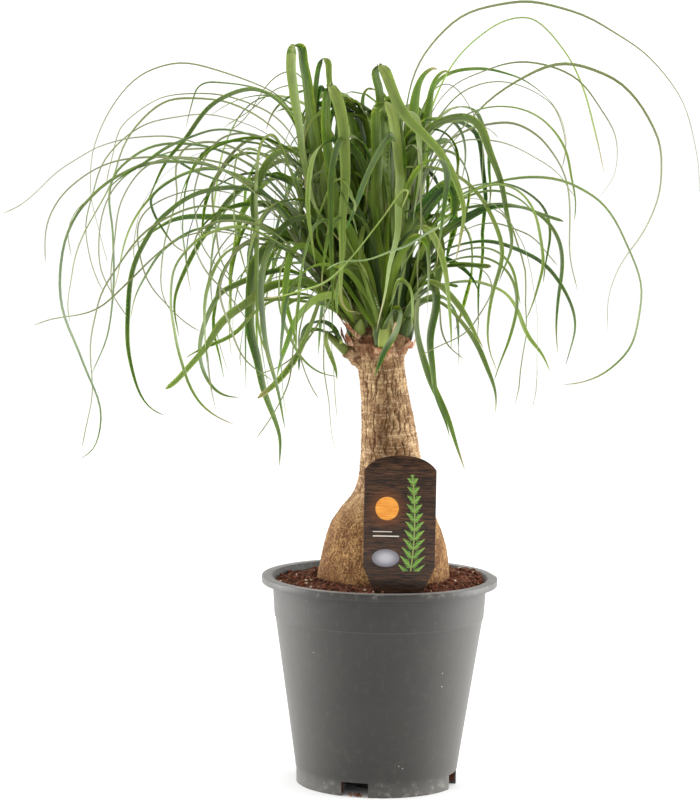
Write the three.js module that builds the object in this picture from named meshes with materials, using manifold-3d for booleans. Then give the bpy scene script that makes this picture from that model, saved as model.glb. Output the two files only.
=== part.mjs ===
// Potted ponytail palm: a grey plastic nursery pot with soil, a swollen trunk that carries five
// leafy heads and one small side shoot, and a plastic plant label pushed into the soil.
// Millimetres, +Z up, the origin at the centre of the pot's underside, -Y towards the viewer.
import * as THREE from 'three';
import Module from 'manifold-3d';
import { mergeVertices } from 'three/addons/utils/BufferGeometryUtils.js';

const wasm = await Module();
wasm.setup();

// Clearance between pieces that touch
const GAP = 0.3;

// Pot
const POT_HEIGHT = 150.4;
const RIM_RADIUS = 85;
const RIM_DROP = 4.8;
const RIM_THICKNESS = 1.6;
const MOUTH_RADIUS = 78;
const WALL = 1.5;
const NECK_RADIUS = 77.4;
const LEDGE_HEIGHT = 121;
const LEDGE_STEP = 0.7;
const LEDGE_RADIUS = 74.9;
const FOOT_HEIGHT = 10.5;
const FOOT_TOP_RADIUS = 58.5;
const FOOT_RADIUS = 58;
const FOOT_INNER_RADIUS = 50;
const DISC_RADIUS = 26;
const FLOOR = 1.6;
const NOTCH_COUNT = 4;
const NOTCH_FIRST_DEG = -15.4;
const NOTCH_WIDTH = 20;
const NOTCH_DEPTH = 14;
const NOTCH_MIDDLE_RADIUS = 55;
const EDGE = 0.8;
const MOUTH_DROP = 4;
const POT_SIDES = 40;

// Soil
const SOIL_LEVEL = 145.6;
const SOIL_CROWN = 4.6;
const SOIL_CROWN_INNER = 46;
const SOIL_CROWN_OUTER = 72;
const SOIL_RINGS = [69, 62, 55, 47];
const SOIL_EDGE_DEPTH = 4;
const SOIL_LUMPS = { broad: 0.7, broadLength: 4.6, fine: 0.4, fineLength: 2.9 };
const SOIL_SIDES = 32;
const MOUND = { x: 64, y: 18, height: 6.2, spread: 15 };

// Trunk: height, sideways centre and radius of each section, from the buried base up
const TRUNK_SECTIONS = [
  [110, 2.6, 17], [115, 2.6, 31], [124, 2.6, 41], [138, 2.7, 46.5], [150, 2.8, 47.5],
  [160.5, 3.2, 46.2], [172, 3.4, 44.3], [182.5, 3.6, 41.4], [190, 3.4, 38.2], [199, 4.7, 33.6],
  [209, 7, 28], [220, 7.7, 24.5], [234, 6.8, 22.2], [249, 5.3, 20.5], [263, 3.7, 19.1],
  [278, 1.8, 17.6], [293, -0.4, 17], [308, -2.4, 17], [319, -3.2, 17.8], [326, -3.2, 16.2],
];
const TRUNK_SIDES = 20;
const TRUNK_WAVES = { lobes: 3, depth: 0.012, length: 40, fineLobes: 7, fineDepth: 0.010, fineLength: 15 };

// Heads: the middle of each one's sixth of the crown, in degrees from +X, its base and core radius
const CROWN_AXIS = new THREE.Vector2(-3, 0);
const HALF_SECTOR = THREE.MathUtils.degToRad(36);
const HEADS = {
  front: { centre: 270, base: [-1, -17, 321], seed: 101 },
  right: { centre: 342, base: [13.5, -5.5, 327], seed: 138 },
  back_right: { centre: 54, base: [7, 14, 327], seed: 175 },
  back_left: { centre: 126, base: [-13, 14, 327], seed: 212 },
  left: { centre: 198, base: [-19.5, -5.5, 327], seed: 249 },
};
const CORE_PROFILE = [[0, -6], [4.8, -6], [5.6, -0.5], [7, 6], [7.4, 14], [5.6, 28], [2.2, 42], [0, 44]];
const CORE_SIDES = 10;
const CORE_SUNK = 2;
const KNOB_SIDES = 12;
const KNOB_LEAN = 0.5;
const KNOB_RADIUS = 7.3;
const KNOB_FOOT_RADIUS = 9;
const KNOB_FOOT = 308;

// Small side shoot low on the left
const LOW_SHOOT = {
  under: 'left',
  stub: [-12, -4, 304],
  base: [-27, -9, 314],
  lean: [-0.72, -0.25, 0.65],
  coreRadius: 4,
  coreLength: 20,
  coreTip: 2,
  coreSunk: 4,
  stubRadius: 5.6,
  stubFootRadius: 7.1,
};
const LOW_HEAD = { centre: null, base: LOW_SHOOT.base };

// Leaves
const KEEL = 1.0;
const KEEL_SHARE = 0.16;
const ROOT_OUTER = 5.5;
const ROOT_INNER = 1.5;
const ROOT_LOW = 4;
const ROOT_HIGH = 30;
const TALLEST_RISE = 240;
const RISE_SEGMENTS = 4;
const FALL_SEGMENTS = 5;
const FILL_RISE_SEGMENTS = 3;
const FILL_FALL_SEGMENTS = 4;
const FIRST_SLOPES = [52, 86];
const WIDTH_ALONG = [[0, 0.6], [0.25, 1], [0.5, 0.85], [0.8, 0.42], [1, 0.16]];
const BLUNT_WIDTH_ALONG = [[0, 0.6], [0.25, 1], [0.6, 0.95], [1, 0.8]];
const SIDE_CLEARANCE = 1.2;
const SOFT_SHARE = 0.7;
const INNERMOST = 10;
const CROWD_START = 30;
const CROWD_DISTANCE = 7;
const CROWD_STEPS = 8;
const SLIDES = [0, 6, -6, 12, -12, 18, -18, 26, -26, 34, -34];
const TIP_SLIDE = 1.3;
const DRAWS_PER_LEAF = 14;
const EYE_DISTANCE = 2348;
const EYE_HEIGHT = 526;

// Leaves that stand out in the crown. Each row gives the top of its arch and its tip as they are
// seen from the front: x, z and depth, then the leaf's slope before and after the top and at the
// tip in degrees, its width, its twist and whether the tip is cut off blunt.
const LEAVES = {
  right: [
    [89, 564, -4, 222, 433, -20, 0, 0, -82, 5, 60, 0],
    [97, 522, 12, 152, 427, 20, 0, 0, -128, 3.2, -40, 0],
    [125, 521, -20, 161, 312, -45, 0, 0, -122, 4.2, 70, 0],
    [79, 508, -8, 125, 449, -14, 0, 0, -112, 3.2, 30, 0],
    [80, 490, -30, 133, 413, -50, 0, 0, -88, 4, -50, 0],
    [80, 478, 8, 137, 361, 10, 0, 0, -86, 3.8, 50, 0],
    [41, 481, -30, 82, 366, -62, 0, 0, -108, 7, -30, 0],
    [106, 441, -50, 129, 292, -70, 0, 0, -165, 4.8, 60, 0],
    [74, 435, -18, 113, 366, -30, 0, 0, -98, 5, 40, 0],
    [84, 421, -45, 126, 408, -62, 0, 0, -32, 6, 20, 1],
    [84, 422, -72, 101, 339, -92, 0, 0, -112, 6, -60, 0],
    [95, 420, -25, 125, 315, -42, 0, 0, -108, 6, 50, 0],
    [67, 394, -40, 131, 306, -70, 0, 0, -95, 5.5, 60, 0],
    [64, 389, -10, 96, 352, -18, 0, 0, -85, 5, -40, 0],
    [54, 377, -30, 75, 374, -38, 0, 0, -12, 6.5, 15, 1],
    [64, 365, 2, 119, 302, 4, 0, 0, -62, 5.5, 50, 0],
    [44, 364, -38, 72, 318, -58, 0, 0, -60, 6.5, 30, 0],
    [46, 356, -10, 81, 272, -22, 0, 0, -88, 4.2, 40, 0],
    [78, 380, -62, 80, 298, -78, 0, 0, -118, 4, -60, 0],
    [24, 385, -20, 47, 254, -48, 0, 0, -75, 7, 30, 0],
    [26, 374, -8, 59, 229, -40, 0, 0, -66, 5, 60, 0],
    [30, 447, -25, 81, 301, -80, 0, 0, -100, 6, -50, 0],
    [60, 462, -58, 104, 378, -96, 0, 0, -95, 4.5, 40, 0],
  ],
  back_right: [
    [91, 554, 45, 155, 444, 78, 0, 0, -76, 6, 50, 0],
    [65, 516, 50, 127, 463, 86, 0, 0, -86, 5, -40, 0],
    [66, 466, 60, 134, 428, 110, 0, 0, -48, 3, 40, 0],
    [78, 418, 50, 112, 392, 72, 0, 0, -70, 5.5, 30, 0],
    [104, 452, 62, 150, 352, 88, 0, 0, -96, 4.5, -60, 0],
    [30, 512, 34, 60, 470, 60, 0, 0, -75, 7, 20, 0],
  ],
  front: [
    [-6, 519, -46, 50, 380, -112, 70, -62, -98, 7.5, 25, 0],
    [-12, 492, -64, 4, 380, -86, 20, -20, -96, 7, 20, 0],
    [-42, 507, -82, -30, 405, -96, 40, -40, -84, 6.5, 20, 0],
    [-50, 424, -96, -25, 386, -112, 10, -30, -58, 5.5, 15, 1],
    [-45, 414, -84, -62, 320, -116, 0, 0, -95, 5, -40, 0],
    [8, 346, -42, -8, 294, -58, 0, 0, -95, 6, 20, 0],
    [14, 474, -70, 34, 330, -128, 0, 0, -90, 6.5, 40, 0],
    [-20, 450, -110, -14, 316, -160, 0, 0, -92, 6.5, -30, 0],
    [-2, 430, -120, 12, 290, -175, 0, 0, -95, 6, 50, 0],
  ],
  left: [
    [-62, 533, -40, -52, 399, -52, 80, -84, -80, 7.5, 10, 0],
    [-47, 521, -28, -58, 456, -40, 75, -80, -95, 6, 30, 0],
    [-80, 470, -62, -71, 259, -84, 0, 0, -112, 6, 20, 0],
    [-135, 502, -8, -142, 471, -10, 0, -60, -80, 7.5, 15, 0],
    [-112, 470, -60, -199, 425, -104, 0, 0, -46, 7, 30, 0],
    [-166, 450, -30, -244, 374, -48, 0, 0, -92, 5, 50, 0],
    [-151, 447, -88, -210, 234, -128, 0, 0, -116, 5.5, -60, 0],
    [-165, 452, 6, -209, 292, 2, 0, 0, -97, 6, 70, 0],
    [-140, 441, -12, -194, 354, -22, 0, 0, -84, 4.5, 40, 0],
    [-128, 443, -44, -142, 382, -52, 0, 0, -150, 4.6, -40, 0],
    [-98, 436, -50, -159, 265, -90, 0, 0, -112, 6, 50, 0],
    [-105, 418, 10, -148, 326, 12, 0, 0, -98, 5.5, -50, 0],
    [-56, 366, -28, -156, 285, -78, 0, 0, -50, 7.5, 25, 1],
    [-118, 408, -92, -100, 345, -100, 0, 0, -158, 3.6, 30, 0],
    [-146, 450, 22, -155, 344, 24, 0, 0, -100, 4.4, 60, 0],
    [-122, 405, -110, -107, 259, -118, 0, 0, -135, 5, -50, 0],
    [-100, 398, -72, -81, 291, -88, 0, 0, -128, 5, 50, 0],
    [-98, 372, -24, -104, 278, -30, 0, 0, -135, 4.6, 40, 0],
    [-54, 410, -52, -71, 255, -78, 0, 0, -112, 7, 20, 0],
    [-64, 404, -26, -76, 230, -56, 0, 0, -118, 7, -20, 0],
    [-37, 421, -18, -90, 278, -66, 40, -78, -42, 6, 25, 0],
  ],
  back_left: [
    [-145, 516, 60, -198, 379, 84, 0, 0, -116, 4.2, 50, 0],
    [-134, 495, 75, -198, 443, 110, 0, 0, -84, 4.2, -40, 0],
    [-130, 492, 96, -196, 425, 140, 0, 0, -80, 3.8, 50, 0],
    [-169, 464, 75, -267, 408, 118, 0, 0, -40, 3.6, 40, 0],
    [-126, 410, 50, -188, 378, 76, 0, 0, -50, 5, -30, 0],
    [-122, 401, 84, -182, 332, 122, 0, 0, -82, 5, 40, 0],
    [-90, 395, 44, -117, 382, 58, 0, 0, -40, 5, 30, 0],
    [-112, 452, 50, -168, 362, 74, 0, 0, -88, 5, 60, 0],
  ],
};

// Leaves of the small side shoot: the same columns, but places in space and not as seen
const LOW_LEAVES = [
  [-47, -17, 336, -60, -22, 300, 0, 0, -88, 4.5, 30],
  [-38, -22, 329, -33, -29, 295, 0, 0, -105, 4, 20],
  [-48, -9, 329, -63, -11, 303, 0, 0, -80, 4, -30],
];

// Leaves that fill each head between those above: how many arch over and how many stand upright
const FILL = {
  front: { arching: 7, upright: 4 },
  right: { arching: 3, upright: 4 },
  back_right: { arching: 13, upright: 4 },
  back_left: { arching: 13, upright: 4 },
  left: { arching: 4, upright: 4 },
};
const FAN_DEG = 64;
const SWAY_DEG = 8;
const ARCHING = {
  reach: [48, 95],
  reachShares: [0.8, 1.1],
  height: [18, 42],
  heightGain: 140,
  drop: [60, 150],
  dropShares: [0.6, 1.1],
  width: [4.5, 6.5],
};
const UPRIGHT = {
  reach: [12, 26],
  reachShares: [1, 1],
  height: [90, 165],
  heightGain: 0,
  drop: [30, 80],
  dropShares: [1, 1],
  width: [6.5, 8.5],
};
const TIP_SPREAD = [1.35, 1.8];
const TIP_SLOPE = [80, 115];
const TWIST = [-60, 60];
const TIER_STEP = 5;
const LOWEST_TIP = 236;

// Plant label
const LABEL = {
  width: 50.5,
  top: 245.5,
  shoulder: 235.3,
  taperStart: 167,
  stakeTop: 150,
  stakeWidth: 35,
  stakePoint: 102,
  thickness: 0.8,
  archFullness: 0.72,
  centreX: 13.4,
  depthY: -62,
  leanDeg: 2,
};

const COLOURS = {
  pot: { color: 0x6f7273, roughness: 0.5, metalness: 0 },
  soil: { color: 0x4a2a1c, roughness: 1, metalness: 0 },
  bark: { color: 0xa68463, roughness: 0.9, metalness: 0 },
  leaf: { color: 0x5d8239, roughness: 0.45, metalness: 0 },
  label: { color: 0x3a2a20, roughness: 0.35, metalness: 0 },
};

// Repeatable random draws
const MULTIPLIER = 16807;
const MODULUS = 2147483647;

class Draws {
  constructor(seed) {
    this.state = seed;
  }

  between([low, high]) {
    this.state = (this.state * MULTIPLIER) % MODULUS;
    return low + (high - low) * (this.state / MODULUS);
  }
}

// Solids and meshes

function solidOf(geometry) {
  const bare = geometry.clone();
  bare.deleteAttribute('normal');
  bare.deleteAttribute('uv');
  const merged = mergeVertices(bare, 1e-4);
  const corners = merged.index.array;
  const kept = [];
  for (let i = 0; i < corners.length; i += 3) {
    const [a, b, c] = [corners[i], corners[i + 1], corners[i + 2]];
    if (a !== b && b !== c && c !== a) kept.push(a, b, c);
  }
  return new wasm.Manifold(new wasm.Mesh({
    numProp: 3,
    vertProperties: new Float32Array(merged.attributes.position.array),
    triVerts: new Uint32Array(kept),
  }));
}

function geometryOf(solid) {
  const { vertProperties, triVerts } = solid.getMesh();
  const geometry = new THREE.BufferGeometry();
  geometry.setAttribute('position', new THREE.BufferAttribute(vertProperties, 3));
  geometry.setIndex(new THREE.BufferAttribute(triVerts, 1));
  geometry.computeVertexNormals();
  return geometry;
}

function joinAll(solids) {
  return solids.reduce((whole, next) => whole.add(next));
}

function largestBody(solid) {
  return solid.decompose().reduce((best, next) => (next.volume() > best.volume() ? next : best));
}

function addMesh(group, name, solid, look) {
  const mesh = new THREE.Mesh(geometryOf(solid), new THREE.MeshStandardMaterial(look));
  mesh.name = name;
  group.add(mesh);
}

// A closed skin over rings of points that all have the same number of corners
function skinOver(rings) {
  const corners = rings[0].length;
  const positions = rings.flat().flatMap((point) => [point.x, point.y, point.z]);
  const index = [];
  for (let ring = 0; ring < rings.length - 1; ring += 1) {
    for (let i = 0; i < corners; i += 1) {
      const a = ring * corners + i;
      const b = ring * corners + ((i + 1) % corners);
      index.push(a, b, b + corners);
      index.push(a, b + corners, a + corners);
    }
  }
  const last = (rings.length - 1) * corners;
  for (let i = 1; i < corners - 1; i += 1) {
    index.push(0, i + 1, i);
    index.push(last, last + i, last + i + 1);
  }
  const geometry = new THREE.BufferGeometry();
  geometry.setAttribute('position', new THREE.Float32BufferAttribute(positions, 3));
  geometry.setIndex(index);
  return geometry;
}

// A profile of [radius, height] pairs turned round the vertical axis
function turned(profile, sides) {
  const points = profile.map(([radius, height]) => new THREE.Vector2(radius, height));
  return new THREE.LatheGeometry(points, sides).rotateX(Math.PI / 2);
}

// Pot

function potInside(offset) {
  const channelTop = FOOT_HEIGHT + FLOOR;
  return [
    [0, FLOOR + offset],
    [DISC_RADIUS - WALL - offset, FLOOR + offset],
    [DISC_RADIUS - offset, channelTop + offset],
    [FOOT_INNER_RADIUS + offset, channelTop + offset],
    [FOOT_INNER_RADIUS + WALL + offset, FLOOR + offset],
    [FOOT_RADIUS - WALL - offset, FLOOR + offset],
    [FOOT_TOP_RADIUS - WALL - offset, FOOT_HEIGHT],
    [LEDGE_RADIUS - WALL - offset, LEDGE_HEIGHT],
  ];
}

function notchCutter(index, margin) {
  const height = FOOT_HEIGHT + NOTCH_DEPTH;
  const depth = NOTCH_DEPTH + 2 * margin;
  const cutter = new THREE.BoxGeometry(NOTCH_WIDTH + 2 * margin, depth, height);
  const angle = THREE.MathUtils.degToRad(NOTCH_FIRST_DEG + (index * 360) / NOTCH_COUNT);
  cutter.translate(0, -NOTCH_MIDDLE_RADIUS, margin + FOOT_HEIGHT - height / 2);
  cutter.rotateZ(angle);
  return solidOf(cutter);
}

function makePot() {
  const inside = potInside(0);
  const profile = [
    [0, 0],
    [DISC_RADIUS, 0],
    [DISC_RADIUS + WALL, FOOT_HEIGHT],
    [FOOT_INNER_RADIUS - WALL, FOOT_HEIGHT],
    [FOOT_INNER_RADIUS, 0],
    [FOOT_RADIUS, 0],
    [FOOT_RADIUS, FOOT_HEIGHT],
    [FOOT_TOP_RADIUS, FOOT_HEIGHT + EDGE],
    [LEDGE_RADIUS, LEDGE_HEIGHT],
    [LEDGE_RADIUS + LEDGE_STEP, LEDGE_HEIGHT + EDGE],
    [NECK_RADIUS, POT_HEIGHT - RIM_THICKNESS],
    [RIM_RADIUS - RIM_THICKNESS, POT_HEIGHT - RIM_THICKNESS],
    [RIM_RADIUS - RIM_THICKNESS, POT_HEIGHT - RIM_DROP],
    [RIM_RADIUS - EDGE / 2, POT_HEIGHT - RIM_DROP],
    [RIM_RADIUS, POT_HEIGHT - EDGE],
    [RIM_RADIUS - EDGE, POT_HEIGHT],
    [MOUTH_RADIUS + EDGE, POT_HEIGHT],
    [MOUTH_RADIUS - EDGE, POT_HEIGHT - EDGE],
    [NECK_RADIUS - WALL, POT_HEIGHT - MOUTH_DROP],
    ...inside.slice().reverse(),
  ];
  let pot = solidOf(turned(profile, POT_SIDES));
  for (let i = 0; i < NOTCH_COUNT; i += 1) {
    pot = pot.subtract(notchCutter(i, 0));
  }
  return pot;
}

// Soil

function soilHeight(x, y) {
  const radius = Math.hypot(x, y);
  const crown = SOIL_CROWN * THREE.MathUtils.smoothstep(-radius, -SOIL_CROWN_OUTER, -SOIL_CROWN_INNER);
  const away = Math.hypot(x - MOUND.x, y - MOUND.y) / MOUND.spread;
  const mound = MOUND.height * Math.exp(-0.5 * away * away);
  const { broad, broadLength, fine, fineLength } = SOIL_LUMPS;
  const broadLumps = broad * Math.sin(x / broadLength + 1) * Math.cos(y / broadLength);
  const fineLumps = fine * Math.sin((x + y) / fineLength);
  return SOIL_LEVEL + crown + mound + broadLumps + fineLumps;
}

function makeSoil(trunkHole, labelHole) {
  const edge = NECK_RADIUS - WALL - GAP;
  const profile = [
    ...potInside(GAP),
    [edge - EDGE, SOIL_LEVEL - SOIL_EDGE_DEPTH],
    ...[edge - EDGE / 2, ...SOIL_RINGS, 0].map((radius) => [radius, SOIL_LEVEL]),
  ];
  const body = turned(profile, SOIL_SIDES);
  const position = body.attributes.position;
  for (let i = 0; i < position.count; i += 1) {
    const [x, y, z] = [position.getX(i), position.getY(i), position.getZ(i)];
    if (z > SOIL_LEVEL - 0.01) position.setZ(i, soilHeight(x, y));
  }
  let soil = solidOf(body);
  for (let i = 0; i < NOTCH_COUNT; i += 1) {
    soil = soil.subtract(notchCutter(i, GAP));
  }
  return largestBody(soil.subtract(trunkHole).subtract(labelHole));
}

// Trunk

function trunkBody(margin) {
  const rings = TRUNK_SECTIONS.map(([height, centreX, radius], level) => {
    const lift = level === 0 ? -margin : 0;
    const ring = [];
    for (let i = 0; i < TRUNK_SIDES; i += 1) {
      const angle = (2 * Math.PI * i) / TRUNK_SIDES;
      const waves = TRUNK_WAVES;
      const broad = waves.depth * Math.sin(waves.lobes * angle + height / waves.length);
      const fine = waves.fineDepth * Math.sin(waves.fineLobes * angle - height / waves.fineLength);
      const reach = (radius + margin) * (1 + broad + fine);
      const x = centreX + reach * Math.cos(angle);
      ring.push(new THREE.Vector3(x, reach * Math.sin(angle), height + lift));
    }
    return ring;
  });
  return solidOf(skinOver(rings));
}

// A tapered stub between two points
function stub(from, to, fromRadius, toRadius, sides) {
  const start = new THREE.Vector3(...from);
  const end = new THREE.Vector3(...to);
  const along = end.clone().sub(start);
  const body = new THREE.CylinderGeometry(toRadius, fromRadius, along.length(), sides);
  body.translate(0, along.length() / 2, 0);
  const turn = new THREE.Quaternion();
  turn.setFromUnitVectors(new THREE.Vector3(0, 1, 0), along.normalize());
  body.applyQuaternion(turn);
  body.translate(start.x, start.y, start.z);
  return solidOf(body);
}

function makeTrunk() {
  let trunk = trunkBody(0);
  for (const head of Object.values(HEADS)) {
    const [x, y, z] = head.base;
    const foot = [CROWN_AXIS.x + KNOB_LEAN * (x - CROWN_AXIS.x), KNOB_LEAN * y, KNOB_FOOT];
    trunk = trunk.add(stub(foot, [x, y, z], KNOB_FOOT_RADIUS, KNOB_RADIUS, KNOB_SIDES));
  }
  const low = LOW_SHOOT;
  trunk = trunk.add(stub(low.stub, low.base, low.stubFootRadius, low.stubRadius, CORE_SIDES));
  for (const head of Object.values(HEADS)) {
    trunk = trunk.subtract(headCore(head, GAP));
  }
  return largestBody(trunk.subtract(lowCore(GAP)));
}

// Heads and leaves

function headCore(head, margin) {
  const profile = CORE_PROFILE.map(([radius, height], i) => {
    const widened = radius > 0 ? radius + margin : 0;
    return [widened, i < CORE_SUNK ? height - margin : height];
  });
  return solidOf(turned(profile, CORE_SIDES).translate(...head.base));
}

function lowCore(margin) {
  const { base, lean, coreRadius, coreLength, coreTip, coreSunk } = LOW_SHOOT;
  const along = new THREE.Vector3(...lean).normalize();
  const foot = new THREE.Vector3(...base).addScaledVector(along, -coreSunk - margin);
  const top = new THREE.Vector3(...base).addScaledVector(along, coreLength);
  return stub(foot.toArray(), top.toArray(), coreRadius + margin, coreTip + margin, CORE_SIDES);
}

function asSeen(x, z, depth) {
  const scale = 1 + depth / EYE_DISTANCE;
  return new THREE.Vector3(x * scale, depth, EYE_HEIGHT + (z - EYE_HEIGHT) * scale);
}

function level(vector) {
  return new THREE.Vector3(vector.x, vector.y, 0).normalize();
}

function sloped(heading, degrees) {
  const angle = THREE.MathUtils.degToRad(degrees);
  const flat = heading.clone().multiplyScalar(Math.cos(angle));
  return flat.setZ(Math.sin(angle));
}

// One even bend between two points with given directions
function bend(from, to, outDirection, inDirection) {
  const turn = outDirection.angleTo(inDirection);
  const reach = from.distanceTo(to) / (3 * Math.cos(turn / 4) ** 2);
  return new THREE.CubicBezierCurve3(
    from,
    from.clone().addScaledVector(outDirection, reach),
    to.clone().addScaledVector(inDirection, -reach),
    to,
  );
}

// Keeps a leaf inside its own head's sector of the crown
function keepInSector(head, point, halfWidth) {
  const middle = THREE.MathUtils.degToRad(head.centre);
  const [dx, dy] = [Math.cos(middle), Math.sin(middle)];
  const x = point.x - CROWN_AXIS.x;
  const y = point.y - CROWN_AXIS.y;
  const radial = Math.max(INNERMOST, x * dx + y * dy);
  const free = (halfWidth + SIDE_CLEARANCE) / Math.cos(HALF_SECTOR);
  const limit = Math.max(1, radial * Math.tan(HALF_SECTOR) - free);
  let share = (y * dx - x * dy) / limit;
  const beyond = (Math.abs(share) - SOFT_SHARE) / (1 - SOFT_SHARE);
  if (beyond > 0) {
    share = Math.sign(share) * (SOFT_SHARE + (1 - SOFT_SHARE) * Math.tanh(beyond));
  }
  const lateral = share * limit;
  point.x = CROWN_AXIS.x + radial * dx - lateral * dy;
  point.y = CROWN_AXIS.y + radial * dy + lateral * dx;
  return point;
}

// The middle line of a leaf: up from its head to the top of its arch and down to its tip
function leafLine(head, leaf) {
  const heading = level(leaf.top.clone().sub(new THREE.Vector3(...head.base)));
  const start = new THREE.Vector3(...head.base);
  const tallness = THREE.MathUtils.clamp((leaf.top.z - start.z) / TALLEST_RISE, 0, 1);
  start.addScaledVector(heading, ROOT_OUTER + (ROOT_INNER - ROOT_OUTER) * tallness);
  start.z += ROOT_LOW + (ROOT_HIGH - ROOT_LOW) * tallness;
  const last = level(leaf.tip.clone().sub(start));
  const run = Math.hypot(leaf.top.x - start.x, leaf.top.y - start.y);
  const climb = THREE.MathUtils.radToDeg(Math.atan2(leaf.top.z - start.z, run));
  const first = THREE.MathUtils.clamp(2 * climb, ...FIRST_SLOPES);
  const rise = bend(start, leaf.top, sloped(heading, first), sloped(heading, leaf.slopeIn));
  const leaving = sloped(leaf.slopeOut < 0 ? last : heading, leaf.slopeOut);
  const fall = bend(leaf.top, leaf.tip, leaving, sloped(last, leaf.slopeTip));
  const points = rise.getPoints(leaf.riseSegments);
  points.push(...fall.getPoints(leaf.fallSegments).slice(1));
  if (head.centre === null) return points;
  return points.map((point) => keepInSector(head, point, leaf.width / 2));
}

// Share of the full width along a leaf, which clasps its head and thins to a thread
function widthShare(along, blunt) {
  const stations = blunt ? BLUNT_WIDTH_ALONG : WIDTH_ALONG;
  const next = Math.max(1, stations.findIndex(([place]) => place >= along - 1e-9));
  const [from, fromShare] = stations[next - 1];
  const [to, toShare] = stations[next];
  return fromShare + ((toShare - fromShare) * (along - from)) / (to - from);
}

function leafSolid(head, leaf) {
  const line = leafLine(head, leaf);
  const lengths = [0];
  for (let i = 1; i < line.length; i += 1) {
    lengths.push(lengths[i - 1] + line[i].distanceTo(line[i - 1]));
  }
  const total = lengths[lengths.length - 1];
  let upper = null;
  const rings = line.map((point, i) => {
    const before = line[Math.max(0, i - 1)];
    const after = line[Math.min(line.length - 1, i + 1)];
    const along = after.clone().sub(before).normalize();
    upper ??= new THREE.Vector3(0, 0, 1);
    upper.addScaledVector(along, -upper.dot(along)).normalize();
    const share = lengths[i] / total;
    const turn = THREE.MathUtils.degToRad(leaf.twist * share);
    const face = upper.clone().applyAxisAngle(along, turn);
    const side = along.clone().cross(face);
    const half = 0.5 * leaf.width * widthShare(share, leaf.blunt);
    const keel = Math.max(KEEL, KEEL_SHARE * 2 * half);
    return [
      point.clone().addScaledVector(side, -half),
      point.clone().addScaledVector(side, half),
      point.clone().addScaledVector(face, -keel),
    ];
  });
  return solidOf(skinOver(rings));
}

// How closely a leaf runs beside the leaves already in its head
function crowding(head, line, placed) {
  const base = new THREE.Vector3(...head.base);
  const nearest = new THREE.Vector3();
  const stretch = new THREE.Line3();
  let sum = 0;
  for (const point of line) {
    if (point.distanceTo(base) < CROWD_START) continue;
    for (const other of placed) {
      for (let i = 1; i < other.length; i += 1) {
        stretch.set(other[i - 1], other[i]).closestPointToPoint(point, true, nearest);
        const away = nearest.distanceTo(point);
        if (away < CROWD_DISTANCE) sum += 1 - away / CROWD_DISTANCE;
      }
    }
  }
  return sum;
}

// The least crowded of several ways to place one leaf
function pickLeaf(head, choices, placed) {
  let best = null;
  for (const leaf of choices) {
    const line = leafLine(head, { ...leaf, riseSegments: CROWD_STEPS, fallSegments: CROWD_STEPS });
    const crowd = crowding(head, line, placed);
    if (best === null || crowd < best.crowd) best = { leaf, line, crowd };
  }
  placed.push(best.line);
  return best.leaf;
}

// A leaf with a known outline from the front, slid nearer or further by some depth
function namedLeaf(row, slide) {
  const [x, z, depth, tipX, tipZ, tipDepth, slopeIn, slopeOut, slopeTip, width, twist, blunt] = row;
  return {
    top: asSeen(x, z, depth + slide),
    tip: asSeen(tipX, tipZ, tipDepth + TIP_SLIDE * slide),
    slopeIn,
    slopeOut,
    slopeTip,
    width,
    twist,
    blunt: blunt === 1,
    riseSegments: RISE_SEGMENTS,
    fallSegments: FALL_SEGMENTS,
  };
}

// A leaf drawn at random for one place in a head, aside from 0 to 1 and in a tier from 0 to 1
function drawnLeaf(head, draws, aside, tier, kind) {
  const mix = THREE.MathUtils.lerp;
  const sway = [-SWAY_DEG, SWAY_DEG];
  const fan = FAN_DEG * (aside - 0.5);
  const heading = THREE.MathUtils.degToRad(head.centre + fan + draws.between(sway));
  const reach = draws.between(kind.reach) * mix(...kind.reachShares, tier);
  const height = draws.between(kind.height) + kind.heightGain * tier;
  const drop = draws.between(kind.drop) * mix(...kind.dropShares, tier);
  const spread = reach * draws.between(TIP_SPREAD);
  const swing = heading + THREE.MathUtils.degToRad(draws.between(sway));
  const slopeTip = -draws.between(TIP_SLOPE);
  const width = draws.between(kind.width);
  const twist = draws.between(TWIST);
  const [x, y, z] = head.base;
  const tipZ = Math.max(LOWEST_TIP, z + height - drop);
  return {
    top: new THREE.Vector3(x + reach * Math.cos(heading), y + reach * Math.sin(heading), z + height),
    tip: new THREE.Vector3(x + spread * Math.cos(swing), y + spread * Math.sin(swing), tipZ),
    slopeIn: 0,
    slopeOut: 0,
    slopeTip,
    width,
    twist,
    blunt: false,
    riseSegments: FILL_RISE_SEGMENTS,
    fallSegments: FILL_FALL_SEGMENTS,
  };
}

function leavesOf(name) {
  const head = HEADS[name];
  const draws = new Draws(head.seed);
  const placed = name === LOW_SHOOT.under ? lowLeaves().map((leaf) => leafLine(LOW_HEAD, leaf)) : [];
  const leaves = LEAVES[name].map((row) => {
    const choices = SLIDES.map((slide) => namedLeaf(row, slide));
    return pickLeaf(head, choices, placed);
  });
  for (const [number, kind] of [[FILL[name].arching, ARCHING], [FILL[name].upright, UPRIGHT]]) {
    for (let i = 0; i < number; i += 1) {
      const aside = (i + 0.5) / number;
      const tier = ((i * TIER_STEP) % number) / (number - 1);
      const choices = [];
      for (let k = 0; k < DRAWS_PER_LEAF; k += 1) {
        choices.push(drawnLeaf(head, draws, aside, tier, kind));
      }
      leaves.push(pickLeaf(head, choices, placed));
    }
  }
  return leaves;
}

function makeShoot(name) {
  const head = HEADS[name];
  const blades = leavesOf(name).map((leaf) => leafSolid(head, leaf));
  return largestBody(joinAll([headCore(head, 0), ...blades]));
}

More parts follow.
